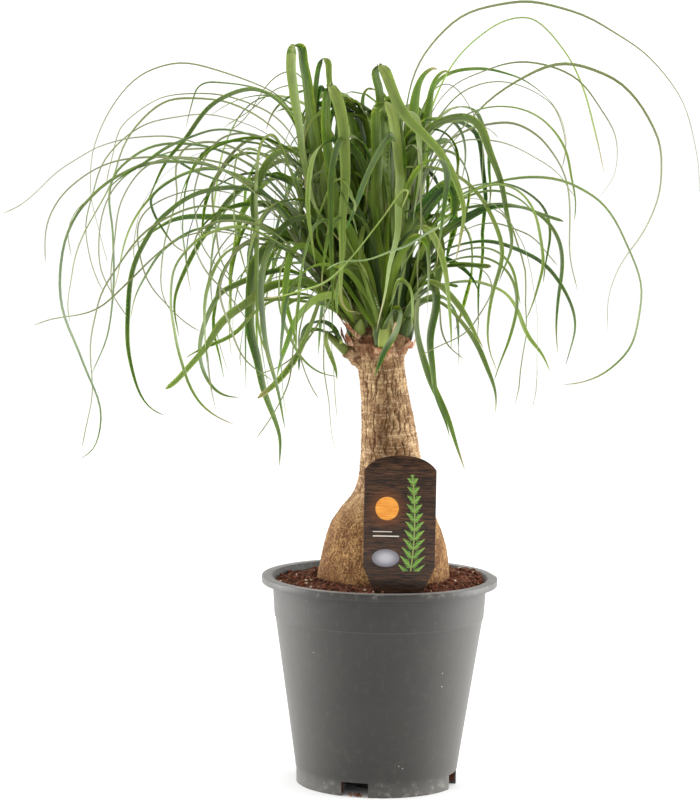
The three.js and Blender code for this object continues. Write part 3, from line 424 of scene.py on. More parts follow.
        (2, -20, -30, (404, 312, 420, 290, 433, 290, 439, 302, 441, 322, 444, 338, 450, 349, 463,
         359)),
        (5, -20, -24, (404, 312, 415, 280, 428, 262, 442, 258, 455, 263, 466, 271, 475, 282, 480,
         296), 140, 100),
        (5.5, -26, -32, (404, 314, 418, 295, 432, 284, 445, 284, 458, 287), 62, 15, BLUNT),
        (2, -10, -20, (402, 305, 425, 262, 455, 235, 480, 224, 500, 223, 515, 229, 530, 236, 543,
         248, 558, 265)),
    ],
    "back_right": [
        (4.2, 45, 78, (402, 300, 406, 230, 415, 165, 430, 110, 445, 75, 460, 53, 480, 35, 500, 22,
         518, 17, 532, 18, 545, 27, 560, 45, 572, 62, 582, 85, 590, 110, 597, 140, 604, 172), 62,
         40, PALE_AND_LIT),
        (4.2, 50, 86, (400, 300, 405, 220, 415, 140, 428, 100, 438, 80, 452, 72, 470, 69, 490, 69,
         505, 73, 520, 78, 535, 87, 548, 98, 558, 112, 564, 126, 567, 147), 112, 60),
        (2.5, 60, 110, (400, 300, 412, 230, 432, 170, 448, 148, 465, 140, 482, 139, 500, 142, 520,
         149, 540, 160, 552, 169, 562, 178, 575, 196)),
        (9.5, 6, 12, (402, 300, 410, 230, 418, 185, 424, 140, 430, 100, 437, 76, 446, 70, 452, 76),
         150, 140, PALE_AND_LIT),
        (12, -4, 4, (398, 300, 402, 240, 405, 190, 409, 150, 412, 120, 416, 95, 424, 74, 432, 68,
         438, 69), 152, 150, PALE_AND_LIT),
        (3.4, 40, 60, (402, 300, 412, 240, 425, 195, 438, 165, 450, 145, 462, 132, 475, 125, 488,
         128, 498, 138)),
        (3.9, 50, 72, (402, 300, 418, 250, 445, 210, 470, 195, 495, 190, 515, 196, 530, 208, 540,
         225)),
        (9, 18, 20, (385, 310, 378, 240, 372, 180, 366, 130, 362, 100, 368, 88, 378, 92), 150, 130,
         PALE_AND_LIT),
        (8, 24, 26, (392, 310, 396, 240, 398, 180, 394, 130, 388, 100, 378, 88, 368, 90), 150, 130,
         PALE_AND_LIT),
    ],
}

# Leaves of the small side shoot: top of the arch, tip, slope at the tip and twist in degrees, width
LOW_LEAVES = [
    ((-47, -17, 336), (-60, -22, 300), -88, 30, 7),
    ((-38, -22, 329), (-33, -29, 295), -105, 20, 4),
    ((-48, -9, 329), (-63, -11, 303), -80, -30, 5.5),
]

# Kinds of drawn leaves: how far out the top of the arch lies, how high over the head it stands, how
# far the tip drops from it, and the width. A leaf's tier, from 0 to 1, multiplies the reach and the
# drop by a share between the two that follow them, and adds its part of the gain after the height.
ARCHING = ((48, 95), (0.8, 1.1), (18, 42), 140, (60, 150), (0.6, 1.1), (4.5, 6.5))
UPRIGHT = ((12, 26), (1, 1), (90, 165), 0, (30, 80), (1, 1), (6.5, 8.5))
FINE_ARCHING = ((38, 96), (0.8, 1.05), (14, 50), 140, (50, 165), (0.6, 1.1), (3.4, 6.4))
FINE_UPRIGHT = ((8, 30), (1, 1), (70, 175), 0, (20, 90), (1, 1), (5.5, 8.5))
THREAD = ((50, 98), (0.8, 1.05), (20, 60), 120, (60, 190), (0.6, 1.1), (0.9, 1.7))
FAN_DEG = 64.0
SWAY_DEG = 8.0
TIP_SPREAD = (1.35, 1.8)
TIP_SLOPE = (80, 115)
TWIST = (-60, 60)
TIER_STEP = 5
LOWEST_TIP = 236.0
FINE_SEED_STEP = 1000
TONE_SEED_STEP = 5
LOW_TONE_SEED = 77

# How many leaves of each kind fill a head between those above, in the order of the kinds
FILL = {
    "front": (7, 4),
    "right": (2, 4),
    "back_right": (6, 4),
    "back_left": (13, 4),
    "left": (4, 4),
}
FINE = {
    "front": (6, 10, 2),
    "right": (1, 10, 1),
    "back_right": (3, 10, 1),
    "back_left": (13, 14, 5),
    "left": (9, 14, 4),
}

# Drawn leaves taken out again where they would hide the ones above
CLEARED = {
    "front": (0, 2, 3, 4, 12, 15),
    "right": (0, 1, 2, 6, 9, 10, 14),
    "back_right": (10, 13, 19, 21),
    "back_left": (5, 29),
    "left": (3, 15, 16),
}

# Blades
RISE_SEGMENTS = 12
FALL_SEGMENTS = 16
BLADE_WIDTH = (
    (0, 0.9), (0.12, 1), (0.48, 1), (0.68, 0.84), (0.84, 0.56), (0.94, 0.28), (1, 0.05),
)
BLUNT_BLADE_WIDTH = ((0, 0.9), (0.15, 1), (0.6, 0.95), (0.85, 0.7), (0.97, 0.5), (1, 0.35))
CHANNEL = ((0, 0.62), (0.3, 0.42), (0.7, 0.26), (1, 0.1))
BLADE_THICKNESS = 0.34
WAVE_HEIGHT = 0.9
WAVE_LENGTH = 46.0
ROLL_WOBBLE_DEG = 35.0
TOWARDS_FRONT = 4.0
LEAST_HALF_WIDTH = 0.42

# Plant label
LABEL = {
    "width": 50.5,
    "top": 245.5,
    "shoulder": 235.3,
    "taper_start": 167.0,
    "stake_top": 150.0,
    "stake_width": 35.0,
    "stake_point": 102.0,
    "thickness": 0.8,
    "centre_x": 13.4,
    "depth_y": -62.0,
    "lean_deg": 2.0,
    "arch_fullness": 0.72,
}
ARCH_STEPS = 12
LABEL_BEVEL = 0.16
LABEL_SHARP_DEG = 30

# Its print, in millimetres from the middle of the stake's top: where each thing is and how large
PLANK_HEIGHT = 7.4
PLANK_TONE_STEP = 0.629
SUN = {"x": -9.0, "z": 58.0, "wide": 8.2, "tall": 8.2}
PEBBLE = {"x": -9.5, "z": 23.0, "wide": 9.6, "tall": 6.2}
LOWER_BAR = {"x": -9.5, "z": 38.5, "wide": 9.4, "tall": 0.5}
UPPER_BAR = {"x": -12.0, "z": 41.6, "wide": 6.9, "tall": 0.35}
SPRIG = {
    "x": 10.5, "bottom": 14.0, "top": 82.0, "bow": 9.0, "pitch": 6.6, "rake": 0.95, "shortest": 3.6,
    "taper": 6.4,
}

# Camera
CAMERA_PLACE = Vector((0.0, -2.3484, 0.5258))
CAMERA_LENS = 147.98
CAMERA_SENSOR = 36.0
CAMERA_TILT_DEG = 6.03
CAMERA_YAW_DEG = -0.575
CAMERA_ROLL_DEG = 0.972

# Studio, in metres: the lights on the right, which the left ones mirror with a share of their
# power, and the grey card behind the camera
SIDE_LIGHT_PLACE = (1.5, 0.1, 0.44)
LOW_LIGHT_PLACE = (0.72, 0.12, 0.13)
TOP_LIGHT_HEIGHT = 2.4
LEFT_SHARE = 0.85
CARD = {"colour": (0.0612, 0.0612, 0.0612, 1), "size": (7.0, 3.6), "place": (0, -2.8, 2.2)}

# Repeatable random draws
MULTIPLIER = 16807
MODULUS = 2147483647


class Draws:
    """A repeatable row of random numbers."""

    def __init__(self, seed):
        self.state = seed

    def between(self, low, high):
        self.state = (self.state * MULTIPLIER) % MODULUS
        return low + (high - low) * (self.state / MODULUS)


def srgb(red, green, blue):
    """A colour given as it looks on screen, 0 to 255, as linear values with full alpha."""
    def linear(value):
        share = value / 255
        return share / 12.92 if share <= 0.04045 else ((share + 0.055) / 1.055) ** 2.4
    return (linear(red), linear(green), linear(blue), 1.0)


def clamp(value, low, high):
    return max(low, min(high, value))


def mix(low, high, share):
    return low + (high - low) * share


def toned(colour, share):
    """A colour made darker or lighter."""
    return tuple(min(1.0, value * share) for value in colour[:3]) + (1.0,)


def smooth(value, low, high):
    """0 below low, 1 above high and an even curve between them."""
    share = clamp((value - low) / (high - low), 0.0, 1.0)
    return share * share * (3 - 2 * share)


def stations_at(stations, place):
    """A value read off rising pairs of place and value by straight lines."""
    places, values = zip(*stations)
    return np.interp(place, places, values)


def hermite(start, end, leaving, arriving, share):
    """A smooth curve between two values with given slopes, at a share of the way."""
    square, cube = share ** 2, share ** 3
    return (
        (2 * cube - 3 * square + 1) * start + (cube - 2 * square + share) * leaving
        + (3 * square - 2 * cube) * end + (cube - square) * arriving
    )


def section_at(height):
    """The trunk's sideways centre and radius at a height, on a smooth curve through sections."""
    last = len(TRUNK_SECTIONS) - 1
    if height >= TRUNK_SECTIONS[last][0]:
        return TRUNK_SECTIONS[last][1:]
    if height <= TRUNK_SECTIONS[0][0]:
        return TRUNK_SECTIONS[0][1:]
    below = next(i for i in range(last) if TRUNK_SECTIONS[i + 1][0] >= height)
    step = TRUNK_SECTIONS[below + 1][0] - TRUNK_SECTIONS[below][0]
    share = (height - TRUNK_SECTIONS[below][0]) / step

    def slope(i, column):
        low, high = TRUNK_SECTIONS[max(0, i - 1)], TRUNK_SECTIONS[min(last, i + 1)]
        return (high[column] - low[column]) / (high[0] - low[0])

    return tuple(
        hermite(
            TRUNK_SECTIONS[below][column], TRUNK_SECTIONS[below + 1][column],
            slope(below, column) * step, slope(below + 1, column) * step, share,
        )
        for column in (1, 2)
    )


def trunk_skin(angle, height, section=None):
    """A point on the trunk's smooth outside."""
    centre, radius = section or section_at(height)
    broad = 0.012 * math.sin(3 * angle + height / 40)
    fine = 0.010 * math.sin(7 * angle - height / 15)
    reach = radius * (1 + broad + fine)
    return Vector((centre + reach * math.cos(angle), reach * math.sin(angle), height))


# Materials


class Wire:
    """One socket of a material's nodes. Arithmetic on it adds Math nodes."""

    def __init__(self, paint, socket):
        self.paint = paint
        self.socket = socket

    def math(self, operation, *values):
        return self.paint.add("ShaderNodeMath", {"operation": operation}, dict(enumerate(values)))

    def __add__(self, other):
        return self.math("ADD", self, other)

    __radd__ = __add__

    def __sub__(self, other):
        return self.math("SUBTRACT", self, other)

    def __rsub__(self, other):
        return self.math("SUBTRACT", other, self)

    def __mul__(self, other):
        return self.math("MULTIPLY", self, other)

    __rmul__ = __mul__

    def __truediv__(self, other):
        return self.math("DIVIDE", self, other)

    def __pow__(self, other):
        return self.math("POWER", self, other)

    def __gt__(self, other):
        return self.math("GREATER_THAN", self, other)

    def __lt__(self, other):
        return self.math("LESS_THAN", self, other)

    def __abs__(self):
        return self.math("ABSOLUTE", self)

    def fraction(self):
        return self.math("FRACT", self)

    def floor(self):
        return self.math("FLOOR", self)

    def most(self, other):
        return self.math("MAXIMUM", self, other)

    def least(self, other):
        return self.math("MINIMUM", self, other)

    def rise(self, low, high):
        """An even curve from 0 to 1 as this value goes from low to high."""
        settings = {"interpolation_type": "SMOOTHSTEP"}
        values = {"Value": self, "From Min": low, "From Max": high}
        return self.paint.add("ShaderNodeMapRange", settings, values)


class Paint:
    """One material and the nodes that feed its surface."""

    def __init__(self, name, **constants):
        self.material = bpy.data.materials.new(name)
        self.material.use_nodes = True
        self.tree = self.material.node_tree
        self.surface = self.tree.nodes["Principled BSDF"]
        for socket, value in constants.items():
            self.surface.inputs[socket.replace("_", " ")].default_value = value

    def add(self, kind, settings, values, output=0):
        node = self.tree.nodes.new(kind)
        for name, value in settings.items():
            setattr(node, name, value)
        for key, value in values.items():
            socket = node.inputs[key]
            if isinstance(value, Wire):
                self.tree.links.new(value.socket, socket)
            else:
                socket.default_value = value
        return Wire(self, node.outputs[output])

    def place(self, scale=(1, 1, 1), shift=(0, 0, 0)):
        """Object coordinates in millimetres, stretched and shifted."""
        coordinates = self.add("ShaderNodeTexCoord", {}, {}, "Object")
        size = tuple(value / MM for value in scale)
        values = {"Vector": coordinates, "Scale": size, "Location": shift}
        return self.add("ShaderNodeMapping", {}, values)

    def parts(self, vector):
        return [self.add("ShaderNodeSeparateXYZ", {}, {"Vector": vector}, axis) for axis in "XYZ"]

    def join(self, x, y, z):
        return self.add("ShaderNodeCombineXYZ", {}, {"X": x, "Y": y, "Z": z})

    def attribute(self, name):
        return self.add("ShaderNodeAttribute", {"attribute_name": name}, {}, "Vector")

    def noise(self, vector, scale, detail=2.0, roughness=0.5, distortion=0.0):
        values = {
            "Vector": vector,
            "Scale": scale,
            "Detail": detail,
            "Roughness": roughness,
            "Distortion": distortion,
        }
        return self.add("ShaderNodeTexNoise", {}, values, "Fac")

    def cells(self, vector, scale, feature="F1", output="Distance"):
        values = {"Vector": vector, "Scale": scale}
        return self.add("ShaderNodeTexVoronoi", {"feature": feature}, values, output)

    def blend(self, share, low, high, way="MIX"):
        """Two colours mixed by a share."""
        settings = {"data_type": "RGBA", "blend_type": way}
        return self.add("ShaderNodeMix", settings, {0: share, 6: low, 7: high}, 2)

    def coats(self, base, *rows):
        """A colour under coats of others, each laid on by its own share."""
        for share, colour in rows:
            base = self.blend(share, base, colour)
        return base

    def bump(self, height, strength, distance):
        values = {"Height": height, "Strength": strength, "Distance": distance}
        return self.add("ShaderNodeBump", {}, values)

    def feed(self, **links):
        for socket, wire in links.items():
            self.tree.links.new(wire.socket, self.surface.inputs[socket.replace("_", " ")])
        return self.material


def pot_plastic(colour):
    """Grey injection-moulded plastic with soft moulding marks, scuffs and dust."""
    paint = Paint(
        "pot_plastic", Specular_IOR_Level=0.42, Sheen_Weight=0.2, Sheen_Roughness=0.6,
        Sheen_Tint=(1, 0.96, 0.9, 1),
    )
    place = paint.place()
    z = paint.parts(place)[2]
    cloud = paint.noise(place, 0.028, 3.0)
    fine = paint.noise(place, 1.4, 2.0)
    specks = paint.cells(place, 0.11)
    dust = (specks < 0.05) * (paint.noise(place, 0.05, 1.0) > 0.54) * 0.6
    streaks = paint.noise(paint.place(scale=(0.9, 0.9, 0.06)), 0.55, 2.0)
    lip = z.rise(POT_HEIGHT - RIM_DROP - 1, POT_HEIGHT)
    foot = z.rise(FOOT_HEIGHT + 4, 2)
    worn = paint.noise(place, 0.16, 4.0, 0.65).rise(0.5, 0.72)
    scuffs = (lip * 0.22 + foot * 0.3 + 0.02) * worn + foot * 0.1
    rubbed = (streaks.rise(0.6, 0.78) * 0.03 + scuffs).least(1.0)
    base = paint.coats(
        toned(colour, 0.86),
        (cloud.rise(0.35, 0.65), toned(colour, 1.16)),
        (rubbed, srgb(170, 166, 158)),
        (dust, srgb(205, 205, 200)),
    )
    rough = 0.42 + cloud * 0.1 + rubbed * 0.3 + fine * 0.04
    relief = paint.bump(fine * 0.4 + streaks * 0.6, 0.12, 0.0002)
    return paint.feed(Base_Color=base, Roughness=rough, Normal=relief)


def soil_earth(colour):
    """Reddish-brown coir and peat, dark where it is damp."""
    paint = Paint("soil_earth", Roughness=0.95, Specular_IOR_Level=0.25)
    place = paint.place()
    grain = paint.noise(place, 0.9, 4.0, 0.7)
    patch = paint.noise(place, 0.11, 2.0)
    red, _, light = paint.parts(paint.cells(place, 0.45, output="Color"))
    base = paint.coats(
        toned(colour, 0.4),
        (grain.rise(0.35, 0.7), colour),
        (red.rise(0.45, 1.0) * 0.6, srgb(128, 70, 46)),
        (light.rise(0.8, 1.0) * 0.5, srgb(150, 108, 78)),
        (patch.rise(0.55, 0.7) * 0.35, srgb(38, 22, 15)),
    )
    relief = paint.bump(grain, 0.6, 0.0006)
    return paint.feed(Base_Color=base, Normal=relief)


def white_grain():
    """Perlite: chalky white grains with grey dirt."""
    paint = Paint("white_grain", Roughness=0.9, Specular_IOR_Level=0.3)
    place = paint.place()
    pits = paint.noise(place, 1.6, 3.0)
    base = paint.blend(pits.rise(0.4, 0.62), srgb(140, 112, 90), srgb(206, 190, 168))
    return paint.feed(Base_Color=base, Normal=paint.bump(pits, 0.4, 0.0003))


def corky_bark(colour, crack_colour):
    """Tan corky bark. The piece's own attribute tells where its cracks, tones and red parts are;
    its tones carry painted shade on the trunk's front.
    """
    paint = Paint("corky_bark", Roughness=0.85, Specular_IOR_Level=0.25)
    crack, tone, red = paint.parts(paint.attribute("bark"))
    place = paint.place()
    x, y, z = paint.parts(place)
    streak = paint.noise(paint.place(scale=(1, 1, 0.2)), 0.7, 3.0, 0.6)
    fleck = paint.noise(place, 0.72, 3.0, 0.7)
    patch = paint.noise(paint.place(scale=(1, 1, 0.6)), 0.08, 2.0)
    bands = paint.noise(paint.place(scale=(0.12, 0.12, 1)), 0.5, 2.0, 0.6)
    wrinkles = paint.cells(paint.place(scale=(1, 1, 0.8)), 0.5, "DISTANCE_TO_EDGE")
    tall = z.rise(195, 225)
    low = z.rise(176, 152)
    swollen = z.rise(216, 186)
    knot = ((x - KNOT["x"]) ** 2.0 + ((z - KNOT["z"]) / KNOT["tallness"]) ** 2.0) ** 0.5
    knot = knot.rise(KNOT["radius"], KNOT["core"]) * y.rise(0, -8) * 0.6
    base = paint.coats(
        srgb(110, 79, 48),
        # the tone brings in the painted shade on the trunk's front
        (tone.rise(0.25, 0.8), colour),
        (streak.rise(0.5, 0.75) * 0.5, srgb(228, 200, 160)),
        (streak.rise(0.5, 0.3) * 0.4, srgb(112, 78, 48)),
        (patch.rise(0.52, 0.66) * 0.45, srgb(118, 84, 52)),
        (bands.rise(0.52, 0.68) * tall * 0.5, srgb(104, 72, 46)),
        (bands.rise(0.46, 0.32) * tall * 0.3, srgb(232, 206, 168)),
        (fleck.rise(0.53, 0.64) * 0.6, srgb(96, 64, 34)),
        (fleck.rise(0.46, 0.36) * 0.35, srgb(214, 184, 142)),
        (patch.rise(0.4, 0.6) * low * 0.4, srgb(120, 82, 44)),
        (red * 0.8, srgb(112, 66, 46)),
        (crack.rise(0.1, 0.9) * 0.85, crack_colour),
        (knot, crack_colour),
        (wrinkles.rise(0.14, 0.03) * swollen * fleck.rise(0.38, 0.52) * 0.85, crack_colour),
    )
    base = paint.blend(swollen, base, (0.84, 0.72, 0.52, 1.0), "MULTIPLY")
    relief = paint.bump(streak * 0.5 + fleck * -0.8, 0.8, 0.0006)
    return paint.feed(Base_Color=base, Normal=relief)


def leaf_green(deep, pale):
    """A living blade: veins run along it, the upper face is sage with painted sheen, the underside
    a deeper green partly from painted shade, the foot pale and the tip dry.
    """
    paint = Paint(
        "leaf_green", Specular_IOR_Level=0.28, Subsurface_Weight=0.18, Subsurface_Scale=0.001,
        Subsurface_Radius=(0.55, 1.0, 0.2),
    )
    along, tone, length = paint.parts(paint.attribute("leaf"))
    across, _, _ = paint.parts(paint.add("ShaderNodeUVMap", {"uv_map": "blade"}, {}))
    under = across > 1.5
    veins = paint.noise(paint.join(across * 5.0, along * length * 1.6, tone * 37.0), 1.0, 2.0, 0.6)
    cloud = paint.noise(paint.join(across * 0.6, along * length * 3.0, tone * 91.0), 1.0, 2.0)
    # below: the underside's green, darker partly as painted shade; above: the upper face, greyed to
    # sage as a painted sheen
    below = paint.blend(tone.rise(0.1, 0.95), deep, pale)
    above = paint.blend((tone * 5.3).fraction().rise(0.0, 1.0), srgb(46, 66, 9), srgb(128, 139, 70))
    base = paint.coats(
        above,
        (under, below),
        (cloud.rise(0.42, 0.75) * 0.35, srgb(118, 134, 42)),
        (cloud.rise(0.5, 0.28) * 0.3, srgb(42, 62, 12)),
        (veins.rise(0.52, 0.7) * 0.25, srgb(142, 158, 76)),
        (veins.rise(0.48, 0.3) * 0.25, srgb(38, 58, 14)),
    )
    # painted shade: the outer part of every blade, which hangs low, is darkened
    base = paint.blend(along.rise(0.42, 0.74) * 0.85, base, (0.62, 0.72, 0.5, 1.0), "MULTIPLY")
    foot = along.rise(0.08, 0.0) * (length.rise(1.6, 1.1) * 0.6 + 0.35)
    tip = along.rise(0.9, 1.0) * (tone * 7.31).fraction().rise(0.35, 0.8)
    base = paint.coats(
        base,
        (foot, srgb(156, 172, 80)),
        (tone.rise(1.05, 1.14) * 0.85, srgb(84, 82, 58)),
        (tip, srgb(134, 116, 78)),
    )
    rough = 0.4 + veins * 0.16 + under * 0.1
    relief = paint.bump(veins, 0.2, 0.0002)
    return paint.feed(Base_Color=base, Roughness=rough, Normal=relief)


def dry_husk():
    """Dry leaf bases and fibres: pinkish beige to rusty brown, in fine lengthwise lines."""
    paint = Paint("dry_husk", Roughness=0.8, Specular_IOR_Level=0.3)
    lines = paint.noise(paint.place(scale=(1, 1, 0.2)), 1.4, 3.0, 0.6)
    patch = paint.noise(paint.place(), 0.22, 2.0)
    base = paint.coats(
        srgb(126, 84, 56),
        (lines.rise(0.35, 0.65), srgb(206, 174, 138)),
        (patch.rise(0.45, 0.6) * 0.7, srgb(140, 66, 40)),
    )
    return paint.feed(Base_Color=base, Normal=paint.bump(lines, 0.5, 0.0003))


def printed_card(plank_colour):
    """A printed card: dark planks with a plain sprig, a low sun and a pale pebble."""
    paint = Paint("printed_card", Specular_IOR_Level=0.32)
    x, _, z = paint.parts(paint.place(shift=(-LABEL["centre_x"], 0, -LABEL["stake_top"])))
    grain = paint.noise(paint.join(x * 0.09, 0.0, z * 1.5), 1.0, 4.0, 0.7, 0.5)
    plank = z * (1 / PLANK_HEIGHT)
    seam = 1 - abs(plank.fraction() - 0.5) * 2
    plank_tone = (plank.floor() * PLANK_TONE_STEP).fraction()

    def oval(shape):
        across, up = (x - shape["x"]) / shape["wide"], (z - shape["z"]) / shape["tall"]
        return (across ** 2.0 + up ** 2.0) ** 0.5

    def bar(shape):
        across = abs(x - shape["x"]).rise(shape["wide"], shape["wide"] - 0.4)
        return abs(z - shape["z"]).rise(shape["tall"], shape["tall"] * 0.6) * across

    sun, pebble = oval(SUN), oval(PEBBLE)
    sun_colour = paint.blend(grain.rise(0.3, 0.7), srgb(196, 112, 30), srgb(226, 160, 64))
    pebble_colour = paint.blend(pebble.rise(0.2, 1.0), srgb(172, 170, 174), srgb(112, 110, 118))

    up = (z - SPRIG["bottom"]) * (1 / (SPRIG["top"] - SPRIG["bottom"]))
    aside = abs(x - SPRIG["x"] + (up - 0.5) * (up - 0.5) * SPRIG["bow"])
    within = (up > 0.0) * (up < 1.0)
    cell = abs(((z - aside * SPRIG["rake"]) * (1 / SPRIG["pitch"])).fraction() - 0.5)
    reach = aside / (SPRIG["shortest"] + (1 - up) * SPRIG["taper"])
    fullness = (1 - reach) * reach.rise(0.0, 0.3) * 0.62 + 0.02
    leaflet = (fullness - cell).rise(0.0, 0.06) * (reach < 1.0) * within
    green = paint.coats(
        srgb(48, 92, 30),
        (grain.rise(0.35, 0.65), srgb(112, 152, 58)),
        (cell.rise(0.07, 0.02) * 0.6, srgb(168, 190, 98)),
    )
    base = paint.coats(
        srgb(22, 14, 9),
        (grain.rise(0.38, 0.62), plank_colour),
        (plank_tone * grain.rise(0.42, 0.6) * 0.6, srgb(98, 64, 40)),
        (seam.rise(0.86, 1.0) * 0.8, srgb(20, 14, 11)),
        (sun.rise(2.1, 0.9) * 0.35, srgb(122, 66, 22)),
        (sun.rise(1.03, 0.97), sun_colour),
        (leaflet, green),
        (aside.rise(0.75, 0.35) * within, srgb(120, 140, 70)),
        (pebble.rise(1.03, 0.97), pebble_colour),
        (bar(LOWER_BAR).most(bar(UPPER_BAR)) * 0.85, srgb(216, 210, 196)),
    )
    return paint.feed(Base_Color=base, Roughness=0.3 + grain * 0.14)


def studio_floor(colour):
    """A plain pale floor with the faintest unevenness."""
    paint = Paint("studio_floor", Roughness=0.8, Specular_IOR_Level=0.2)
    grain = paint.noise(paint.place(), 0.012, 2.0)
    return paint.feed(Base_Color=paint.blend(grain, colour, toned(colour, 0.985)))


# Finished pieces


def as_mesh(bm, name):
    mesh = bpy.data.meshes.new(name)
    bm.to_mesh(mesh)
    bm.free()
    return mesh


def shown(name, data):
    """A new object in the scene."""
    thing = bpy.data.objects.new(name, data)
    bpy.context.scene.collection.objects.link(thing)
    return thing


def moved(bm, *matrices):
    """The same bmesh, put through matrices from the last to the first."""
    matrix = matrices[0]
    for other in matrices[1:]:
        matrix = matrix @ other
    bmesh.ops.transform(bm, matrix=matrix, verts=bm.verts)
    return bm


def finish(bm, name, material, replaced=(), sharp_deg=None):
    """Turns millimetres into metres, hands the piece to its body and hides the nodes that it
    replaces.
    """
    mesh = as_mesh(moved(bm, Matrix.Scale(MM, 4)), name)
    mesh.polygons.foreach_set("use_smooth", [True] * len(mesh.polygons))
    if sharp_deg is not None:
        mesh.set_sharp_from_angle(angle=math.radians(sharp_deg))
    mesh.materials.append(material)
    piece = shown(name, mesh)
    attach(piece, BODY)
    if replaced:
        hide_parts(*replaced)
    return piece


def spun(profile, steps, rounding=0.0, rounded=()):
    """A closed turned body from a profile of radius and height. Some of its corners are rounded."""
    bm = bmesh.new()
    row = bm.verts.layers.int.new("row")
    points = []
    for index, (radius, height) in enumerate(profile):
        point = bm.verts.new((radius, 0, height))
        point[row] = index
        points.append(point)
    for first, second in zip(points, points[1:]):
        bm.edges.new((first, second))
    if rounding:
        corners = [points[index] for index in rounded]
        bmesh.ops.bevel(
            bm, geom=corners, offset=rounding, segments=3, profile=0.5, affect="VERTICES",
            material=-1, clamp_overlap=True,
        )
    bmesh.ops.spin(
        bm, geom=bm.verts[:] + bm.edges[:], axis=(0, 0, 1), cent=(0, 0, 0), angle=2 * math.pi,
        steps=steps, use_merge=True,
    )
    bmesh.ops.remove_doubles(bm, verts=bm.verts, dist=1e-4)
    bmesh.ops.recalc_face_normals(bm, faces=bm.faces)
    return bm


def cut_notches(piece, margin):
    """Takes the four drain notches out of the foot of the pot or the soil."""
    cutter_mesh = bmesh.new()
    height = FOOT_HEIGHT + NOTCH_DEPTH
    for index in range(NOTCH_COUNT):
        size = (NOTCH_WIDTH + 2 * margin, NOTCH_DEPTH + 2 * margin, height)
        made = bmesh.ops.create_cube(cutter_mesh, size=1.0)
        turn = Matrix.Rotation(math.radians(NOTCH_FIRST_DEG + index * 360 / NOTCH_COUNT), 4, "Z")
        shift = Matrix.Translation((0, -NOTCH_MIDDLE_RADIUS, margin + FOOT_HEIGHT - height / 2))
        shape = Matrix.Diagonal((*size, 1))
        bmesh.ops.transform(
            cutter_mesh, matrix=Matrix.Scale(MM, 4) @ turn @ shift @ shape, verts=made["verts"]
        )
    cutter = shown("notches", as_mesh(cutter_mesh, "notches"))
    cut = piece.modifiers.new("notches", "BOOLEAN")
    cut.object = cutter
    cut.operation = "DIFFERENCE"
    cut.solver = "EXACT"
    depsgraph = bpy.context.evaluated_depsgraph_get()
    cut_mesh = bpy.data.meshes.new_from_object(piece.evaluated_get(depsgraph))
    piece.modifiers.clear()
    whole_mesh, cutter_data = piece.data, cutter.data
    name = whole_mesh.name
    piece.data = cut_mesh
    bpy.data.objects.remove(cutter)
    for old in (whole_mesh, cutter_data):
        bpy.data.meshes.remove(old)
    cut_mesh.name = name


def pot_inside(offset):
    """The profile of the pot's inside, or that of what fills it, a gap away from it."""
    channel_top = FOOT_HEIGHT + FLOOR
    return [
        (0, FLOOR + offset),
        (DISC_RADIUS - WALL - offset, FLOOR + offset),
        (DISC_RADIUS - offset, channel_top + offset),
        (FOOT_INNER_RADIUS + offset, channel_top + offset),
        (FOOT_INNER_RADIUS + WALL + offset, FLOOR + offset),
        (FOOT_RADIUS - WALL - offset, FLOOR + offset),
        (FOOT_TOP_RADIUS - WALL - offset, FOOT_HEIGHT),
        (LEDGE_RADIUS - WALL - offset, LEDGE_HEIGHT),
    ]


def make_pot(settings):
    """The pot is turned in one piece and its notches are cut."""
    outside = [
        (0, 0),
        (DISC_RADIUS, 0),
        (DISC_RADIUS + WALL, FOOT_HEIGHT),
        (FOOT_INNER_RADIUS - WALL, FOOT_HEIGHT),
        (FOOT_INNER_RADIUS, 0),
        (FOOT_RADIUS, 0),
        (FOOT_RADIUS, FOOT_HEIGHT),
        (FOOT_TOP_RADIUS, FOOT_HEIGHT + EDGE),
        (LEDGE_RADIUS, LEDGE_HEIGHT),
        (LEDGE_RADIUS + LEDGE_STEP, LEDGE_HEIGHT + EDGE),
        (NECK_RADIUS, POT_HEIGHT - RIM_THICKNESS),
        (RIM_RADIUS - RIM_THICKNESS, POT_HEIGHT - RIM_THICKNESS),
        (RIM_RADIUS - RIM_THICKNESS, POT_HEIGHT - RIM_DROP),
        (RIM_RADIUS, POT_HEIGHT - RIM_DROP),
        (RIM_RADIUS, POT_HEIGHT),
        (MOUTH_RADIUS, POT_HEIGHT),
        (NECK_RADIUS - WALL, POT_HEIGHT - MOUTH_DROP),
    ]
    profile = outside + pot_inside(0)[::-1]
    bm = spun(profile, settings.sides, ROUNDING, range(1, len(profile) - 1))
    for vert in bm.verts:
        angle = math.degrees(math.atan2(vert.co.y, vert.co.x))
        away = (angle - DENT["angle"]) / DENT["spread"]
        lip = smooth(vert.co.z, POT_HEIGHT - 2 * RIM_DROP, POT_HEIGHT - RIM_THICKNESS)
        radial = Vector((vert.co.x, vert.co.y, 0)).normalized()
        outer = smooth(math.hypot(vert.co.x, vert.co.y), NECK_RADIUS, RIM_RADIUS)
        vert.co -= radial * DENT["depth"] * lip * outer * math.exp(-0.5 * away * away)
    piece = finish(bm, "pot_shell", pot_plastic(settings.colour), ["pot"])
    cut_notches(piece, 0.0)
    piece.data.set_sharp_from_angle(angle=math.radians(POT_SHARP_DEG))


